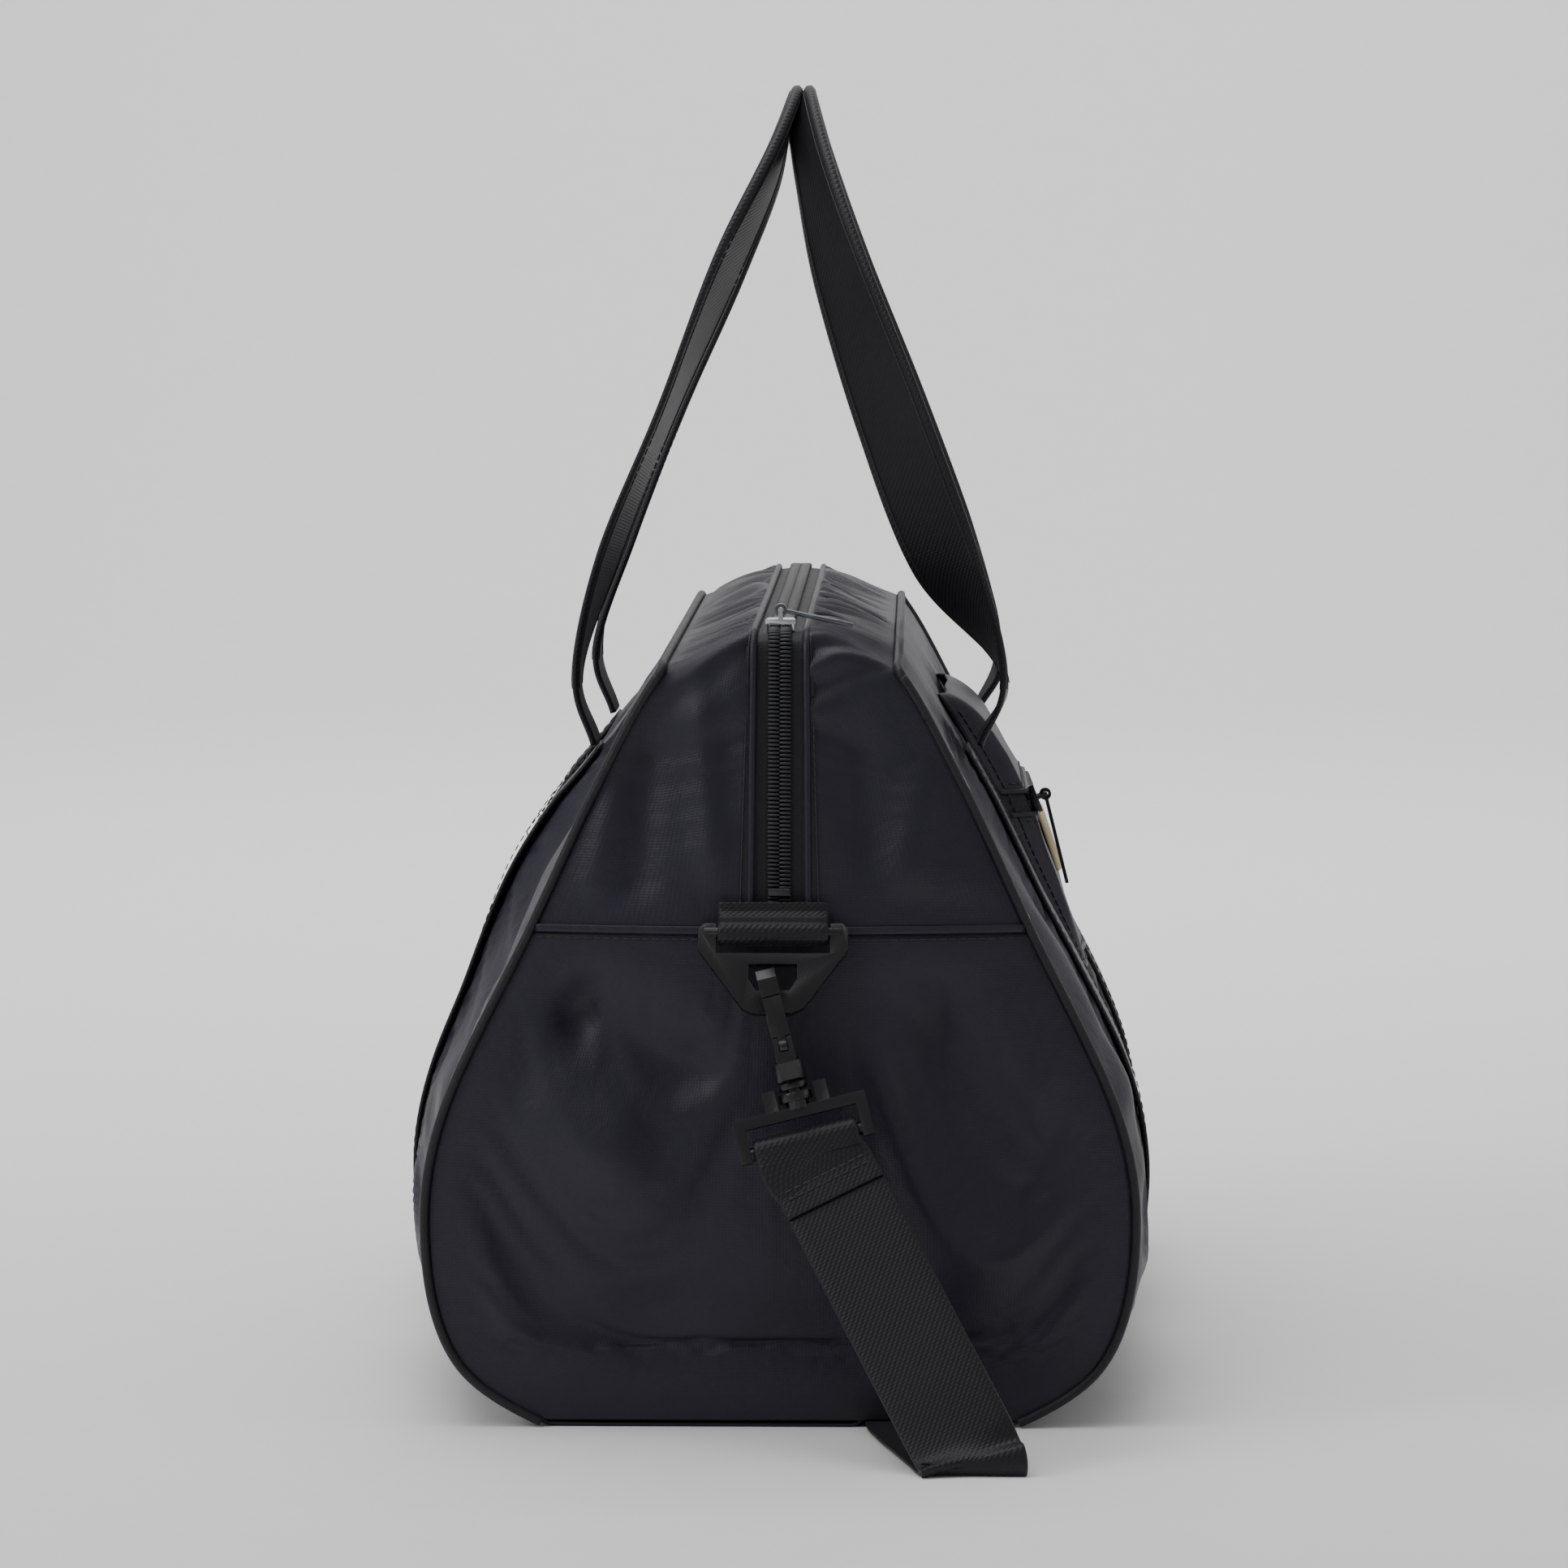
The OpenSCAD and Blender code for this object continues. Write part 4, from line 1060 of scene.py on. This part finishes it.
@dataclass
class Pocket:
    """Zipped pouch on the front panel, between the webbing strips."""

    half: float = 0.0585
    puff: float = 0.012
    zip_z: float = 0.214
    foot_z: float = 0.150
    head_z: float = 0.257
    gap: float = 0.0045
    badge_z: float = 0.1945
    badge_y: float = 0.012
    badge_radius: float = 0.0145

    def face(self, z: Array, y: Array) -> Array:
        """Outer face: the body's width plus a puff that rises up the panel and rolls in at the top."""
        rise = np.sin(np.clip((z - 0.138) / 0.095, 0, 1) * math.pi / 2) ** 1.5
        edge = smooth(self.half + 0.003 - abs(y), 0.0, 0.009)
        roll = np.sqrt(np.clip(1 - np.clip((z - 0.244) / 0.0135, 0, 1) ** 2, 0, 1))
        body = self.body_x(z, y)
        soft = 0.0012 * ripple(y, z, 0.05, 71) * edge * (1 - smooth(abs(z - self.zip_z), 0.012, 0.004))
        depth = self.puff * rise * edge * roll + 0.0012 + soft * smooth(abs(z - self.zip_z), 0.006, 0.02)
        return np.stack([body + depth, y + 0 * body, z + 0 * body], -1)

    def body_x(self, z: Array, y: Array) -> Array:
        """The front panel's x at height z, without its folds."""
        return FORM.half_width(z) * FORM.swell(Side.FRONT, y * 0.6, z)

    def build(self) -> None:
        """Pouch cloth above and below the zip, tape, coil, threads, badge, slider and pull."""
        y = np.linspace(-self.half - 0.002, self.half + 0.002, 90)
        for name, lo, hi, nodes in (("lower", self.foot_z, self.zip_z - self.gap, ("pocket_lower",)),
                                    ("upper", self.zip_z + self.gap, self.head_z,
                                     ("pocket_upper", "pocket_sides"))):
            z = np.linspace(lo, hi, 46)
            grid = self.face(z[:, None], y[None])
            made = thicken(grid_object(f"pocket_{name}_cloth", grid, CLOTH, about=BODY_CENTRE), 0.0012)
            dress(made, "bag", "cloth", *nodes)
        for name, z in (("lower", self.zip_z - self.gap), ("upper", self.zip_z + self.gap)):
            path = self.face(np.full(90, z), y)
            lip = tube(f"pocket_{name}_lip", path + [0.0003, 0, 0], 0.0011, (1, 0, 0.4), CLOTH, 8)
            dress(lip, "bag", "cloth")
        way = self.slope()
        out = np.array([-way[2], 0, way[0]]) * (-1 if way[2] > 0 else 1)
        base = np.array([float(self.face(np.array(self.zip_z), np.array(0.0))[0]), 0, self.zip_z])
        grid = self.face(self.zip_z + np.linspace(-0.006, 0.006, 7)[:, None], y[None]) - out * 0.0008
        tape = thicken(grid_object("pocket_tape_cloth", grid, ZIP_TAPE, about=BODY_CENTRE), 0.0009)
        dress(tape, "bag", "zip_tape", "pocket_zip_tape")
        at = np.arange(-0.050, 0.050, 0.00105)
        spots = (base + at[:, None] * [0, 1, 0] + out * 0.0012
                 + np.where(np.arange(len(at)) % 2, 1, -1)[:, None] * 0.0013 * way)
        coil = beads("pocket_coil_turns", spots, np.tile(way, (len(at), 1)), np.tile(out, (len(at), 1)),
                     (0.0024, 0.0008, 0.0011), COIL)
        dress(coil, "bag", "zip_coil", "pocket_zip_coil")
        self.threads()
        for node, finish, slot in (("pocket_slider", LACQUER, "dark_metal"),
                                   ("pocket_pull", WEBBING, "webbing")):
            dress(softened(node, finish, 0.0004), node, slot, node)
        self.badge()
        log.info("pocket")

    def slope(self) -> Array:
        """Direction up the pouch at the zip."""
        a, b = self.face(np.array([self.zip_z - 0.005, self.zip_z + 0.005]), np.zeros(2))
        return unit(b - a)

    def threads(self) -> None:
        """Topstitching round the pouch and beside its zip."""
        z = np.linspace(self.foot_z + 0.004, self.head_z - 0.008, 60)
        rows = []
        for k in (-1, 1):
            line = self.face(z, np.full(60, k * (self.half - 0.0005))) + [0.0004, 0, 0]
            rows.append((line, np.array([0.9, k * 0.4, 0.3])))
        y = np.linspace(-self.half, self.half, 70)
        for z0 in (self.foot_z + 0.003, self.zip_z - 0.0075, self.zip_z + 0.0075):
            rows.append((self.face(np.full(70, z0), y) + [0.0004, 0, 0], np.array([0.8, 0, 0.5])))
        made = stitches("pocket_thread", rows)
        dress(made, "bag", "cloth")

    def badge(self) -> None:
        """Blank round badge: a dome with a raised rim, its height a function of the radius."""
        r = np.linspace(0.00001, 1, 26)[:, None]
        turn = np.linspace(0, math.tau, 72, endpoint=False)[None]
        z0, y0, size = self.badge_z, self.badge_y, self.badge_radius
        p, q = self.face(np.array([z0 - 0.005, z0 + 0.005]), np.full(2, y0))
        up = unit(q - p)
        out = np.cross([0.0, 1, 0], up)
        out = out if out[0] > 0 else -out
        centre = self.face(np.array(z0), np.array(y0))
        rim = 0.0008 * np.exp(-((r - 0.88) / 0.05) ** 2) + 0.0005 * (1 - r ** 2)
        high = 0.0016 + rim - 0.0016 * smooth(r, 0.955, 1.0)
        grid = (centre + (r * size * np.cos(turn))[..., None] * up
                + (r * size * np.sin(turn))[..., None] * np.array([0, 1.0, 0]) + high[..., None] * out)
        made = thicken(grid_object("pocket_badge_disc", grid, BADGE, wrap=True, about=BODY_CENTRE), 0.0014)
        dress(made, "bag", "badge", "pocket_badge")


@dataclass
class StrapEnd:
    """Everything that hangs from one end: tab, ring, snap hook, gate, frame and strap loop."""

    end: End
    web: float = 0.038
    thick: float = 0.002
    bar: tuple = (-2, -257.5, 184)
    ring_tilt: float = 25
    hook_lean: float = 12
    hook_side: float = 14
    loop_drop: float = 51.4
    fold: tuple = (66, -331, 12)

    @property
    def tag(self) -> str:
        """Name of the end."""
        return self.end.tag

    def turn(self, axis: int, degrees: float) -> Array:
        """Rotation matrix about x (0) or y (1)."""
        c, s = math.cos(math.radians(degrees)), math.sin(math.radians(degrees))
        return np.array([[1, 0, 0], [0, c, -s], [0, s, c]]) if axis == 0 else np.array(
            [[c, 0, s], [0, 1, 0], [-s, 0, c]])

    def flip(self, p: Array) -> Array:
        """Near-end points in millimetres, carried to this end in metres."""
        return np.asarray(p, float) * [1, -self.end.value, 1] * MM

    def hook_place(self) -> tuple[Array, Array]:
        """Origin and axes of the hook, near end, in millimetres."""
        origin = np.array(self.bar, float) + self.turn(0, -self.ring_tilt) @ [0, 0, -26.75]
        return origin, self.turn(0, -self.hook_lean) @ self.turn(1, -self.hook_side)

    def run(self) -> tuple[Array, Array, Array, float]:
        """Loop centre, direction of the strap, its width direction and the length to the floor."""
        origin, axes = self.hook_place()
        centre = origin + axes @ [0, 0, -self.loop_drop]
        away = np.array(self.fold, float) - centre
        way = unit(away)
        across = unit(axes[:, 0] - (axes[:, 0] @ way) * way)
        return centre, way, across, float(np.linalg.norm(away))

    def tab(self) -> None:
        """Webbing folded round the ring's bar and sewn flat to the end below the zip."""
        turn = np.radians(np.linspace(100, 285, 28))
        loop = np.stack([0 * turn, 3.75 * np.cos(turn), 3.75 * np.sin(turn)], -1)
        upper = [[0, 5.6, 10.5], [0, 5.0, 7.0], [0, 2.6, 4.3]]
        lower = [[0, 3.6, -2.6], [0, 5.6, 1.0], [0, 5.7, 3.0]]
        fine = bent(np.vstack([upper, loop, lower]), 0.4, 3)
        path = self.flip(fine + self.bar)
        made = ribbon(f"{self.tag}_tab_webbing", path, np.tile([1.0, 0, 0], (len(path), 1)), 0.040, 0.0019,
                      WEBBING, 11)
        dress(made, "bag", "webbing", f"{self.tag}_tab")
        x = np.linspace(-17.5, 17.5, 40)
        row = self.flip(np.column_stack([x + self.bar[0], np.full(40, self.bar[1] + 4.8),
                                         np.full(40, self.bar[2] + 8.6)]))
        thread = stitches(f"{self.tag}_tab_thread", [(row, np.array([0, self.end.value, 0.0]))])
        dress(thread, "bag", "webbing")

    def clips(self) -> None:
        """Moulded ring, hook, gate and frame with rounded edges."""
        for node, body, bevel in ((f"{self.tag}_ring", f"{self.tag}_ring", 0.0008),
                                  (f"{self.tag}_hook", f"{self.tag}_hook", 0.0009),
                                  (f"{self.tag}_gate", f"{self.tag}_gate", 0.0004),
                                  (f"{self.tag}_strap_frame", f"{self.tag}_clip", 0.0006)):
            dress(softened(node, PLASTIC, bevel), body, "moulded_plastic", node)

    def loop(self) -> None:
        """Strap end folded round the frame's bar and sewn to itself."""
        centre, way, across, _ = self.run()
        _, axes = self.hook_place()
        bar = axes[:, 0]
        down = unit(way - (way @ bar) * bar)
        out = np.cross(bar, down)
        turn = np.linspace(-0.62 * math.pi, 0.62 * math.pi, 44)
        arc = centre - 3.95 * (np.cos(turn)[:, None] * down + np.sin(turn)[:, None] * out)
        legs = [centre + down * 8 + out * 2.4, centre + way * 15 + out * 1.25, centre + way * 26 + out * 1.1]
        other = [centre + down * 8 - out * 2.4, centre + way * 15 - out * 1.25,
                 centre + way * 24 - out * 1.1]
        fine = bent(np.vstack([np.array(legs)[::-1], arc, np.array(other)]), 0.5, 4)
        share = smooth((fine - centre) @ way, 2, 14)[:, None]
        wide = unit(bar * (1 - share) + across * share)
        made = ribbon(f"{self.tag}_loop_webbing", self.flip(fine), wide * [1, -self.end.value, 1],
                      self.web, self.thick, WEBBING, 11)
        dress(made, f"{self.tag}_clip", "webbing", f"{self.tag}_strap_loop")
        k = np.linspace(-16, 16, 30)[:, None]
        face = np.cross(way, across)
        face = face if face[1] < 0 else -face
        rows = [(self.flip(centre + way * d + across * k + face * 2.35), face * [1, -self.end.value, 1])
                for d in (14.5, 17.5)]
        thread = stitches(f"{self.tag}_loop_thread", rows)
        dress(thread, f"{self.tag}_clip", "webbing")

    def build(self) -> None:
        """All of the end's pieces."""
        self.tab()
        self.clips()
        self.loop()
        log.info("strap end %s", self.tag)


@dataclass
class Strap:
    """Shoulder strap: down from each clip to a fold on the ground, and flat below the bag."""

    web: float = 0.038
    thick: float = 0.002
    start: float = 24
    lay: float = 1.3
    turns: tuple = ((70, -337, 5.4), (69.5, -334, 1.3), (66, -318, 1.3), (60, -290, 1.3),
                    (54, -262, 1.3), (50, -232, 1.3), (50, -160, 1.3))

    def route(self, part: StrapEnd) -> tuple[Array, Array]:
        """Middle line and width direction from one clip to the part that lies below the base."""
        centre, way, across, long = part.run()
        steps = self.start + np.arange(5)[:, None] * (long - self.start) / 4
        points = np.vstack([centre + way * steps, np.array(self.turns)])
        t = np.linspace(0, len(points) - 1, 240)
        path = spline(points, t)
        share = smooth(t, 3.4, 4.8)[:, None]
        wide = across * (1 - share) + np.array([1.0, 0, 0]) * share
        return part.flip(path), wide * [1, -part.end.value, 1]

    def run(self, part: StrapEnd) -> bpy.types.Object:
        """The stretch from one clip down to the fold on the ground, as one fixed mesh."""
        path, wide = self.route(part)
        made = ribbon(f"{part.tag}_strap_webbing", path, wide, self.web, self.thick, WEBBING, 11)
        centre, way, _, _ = part.run()
        f"{part.tag}_clip"
        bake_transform(made)
        return made

    def build(self, parts: Sequence[StrapEnd]) -> None:
        """Both rising runs, the stretch below the bag and the adjuster."""
        for part in parts:
            made = self.run(part)
        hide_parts("shoulder_strap")
        y = np.linspace(-0.161, 0.161, 60)
        path = np.column_stack([np.full(60, 0.050), y, np.full(60, self.lay * MM)])
        below = ribbon("under_strap_webbing", path, np.tile([1.0, 0, 0], (60, 1)), self.web, self.thick,
                       WEBBING, 11)
        dress(below, "bag", "webbing")
        dress(softened("strap_adjuster", PLASTIC, 0.0006), "adjuster", "moulded_plastic",
              "strap_adjuster")
        log.info("strap")


# ---------------------------------------------------------------- studio

@dataclass
class Studio:
    """Pale floor, soft lights and the camera."""

    eye: tuple = (0.050, -2.750, 0.445)
    lens: float = 159.3
    pitch: float = 4.747
    yaw: float = 1.106

    def camera(self) -> None:
        """Long lens a little above the bag, looking along it."""
        data = bpy.data.cameras.new("camera")
        data.lens, data.sensor_width = self.lens, 36.0
        made = bpy.data.objects.new("camera", data)
        made.location = self.eye
        made.rotation_euler = (math.radians(90 - self.pitch), 0, math.radians(self.yaw))
        bpy.context.collection.objects.link(made)
        bpy.context.scene.camera = made

    def lamp(self, name: str, place: Sequence[float], aim: Sequence[float], size: float,
             power: float) -> None:
        """A square softbox that faces a point."""
        data = bpy.data.lights.new(name, "AREA")
        data.shape, data.size, data.energy = "SQUARE", size, power
        made = bpy.data.objects.new(name, data)
        back = unit(np.array(place, float) - np.array(aim, float))
        side = unit(np.cross([0, 0, 1.0], back))
        made.matrix_world = Matrix([*np.column_stack([side, np.cross(back, side), back, place]).tolist(),
                                    [0, 0, 0, 1]])
        bpy.context.collection.objects.link(made)

    def floor(self) -> None:
        """A wide pale floor that sweeps up behind the bag in a quarter circle."""
        turn = np.linspace(0, math.pi / 2, 24)
        y = np.concatenate([[-9.0, 0.0, 3.4], 3.4 + 1.6 * np.sin(turn[1:]), [5.0]])
        z = np.concatenate([[0.0, 0.0, 0.0], 1.6 * (1 - np.cos(turn[1:])), [6.0]])
        grid = np.stack(np.broadcast_arrays(np.linspace(-7, 7, 3)[:, None], y[None], z[None]), -1)
        finish = Moulded("floor_pale", "#f4f4f4", "#f7f7f7", 0.8, 0.05)
        made = grid_object("floor", grid, finish, about=(0, 6, -1))

    def build(self) -> None:
        """Floor, lights and world."""
        self.floor()
        self.lamp("top", (-0.4, -0.2, 2.3), (0, 0, 0.15), 1.6, 23)
        self.lamp("left", (-2.1, -1.1, 1.5), (0, -0.2, 0.12), 1.0, 18)
        self.lamp("right", (2.3, -0.6, 1.2), (0, -0.1, 0.15), 1.2, 5)
        self.lamp("front", (-1.4, -2.4, 2.6), (0, -0.2, 0.14), 1.0, 8)
        self.lamp("backdrop", (0.0, 1.6, 3.2), (0, 4.4, 0.9), 2.4, 120)
        world = bpy.data.worlds.new("world")
        world.use_nodes = True
        world.node_tree.nodes["Background"].inputs["Color"].default_value = srgb("#ffffff")
        world.node_tree.nodes["Background"].inputs["Strength"].default_value = 0.35
        bpy.context.scene.world = world


def main() -> None:
    """Build the bag, then the studio."""
    logging.basicConfig(level=logging.INFO, format="%(name)s: %(message)s")
    studio = Studio()
    studio.camera()
    ends = [StrapEnd(end) for end in End]
    Strap().build(ends)
    for part in ends:
        part.build()
    Shell().build()
    Mouth().build()
    Handles().build()
    Pocket().build()
    studio.build()


if __name__ == "__main__":
    main()
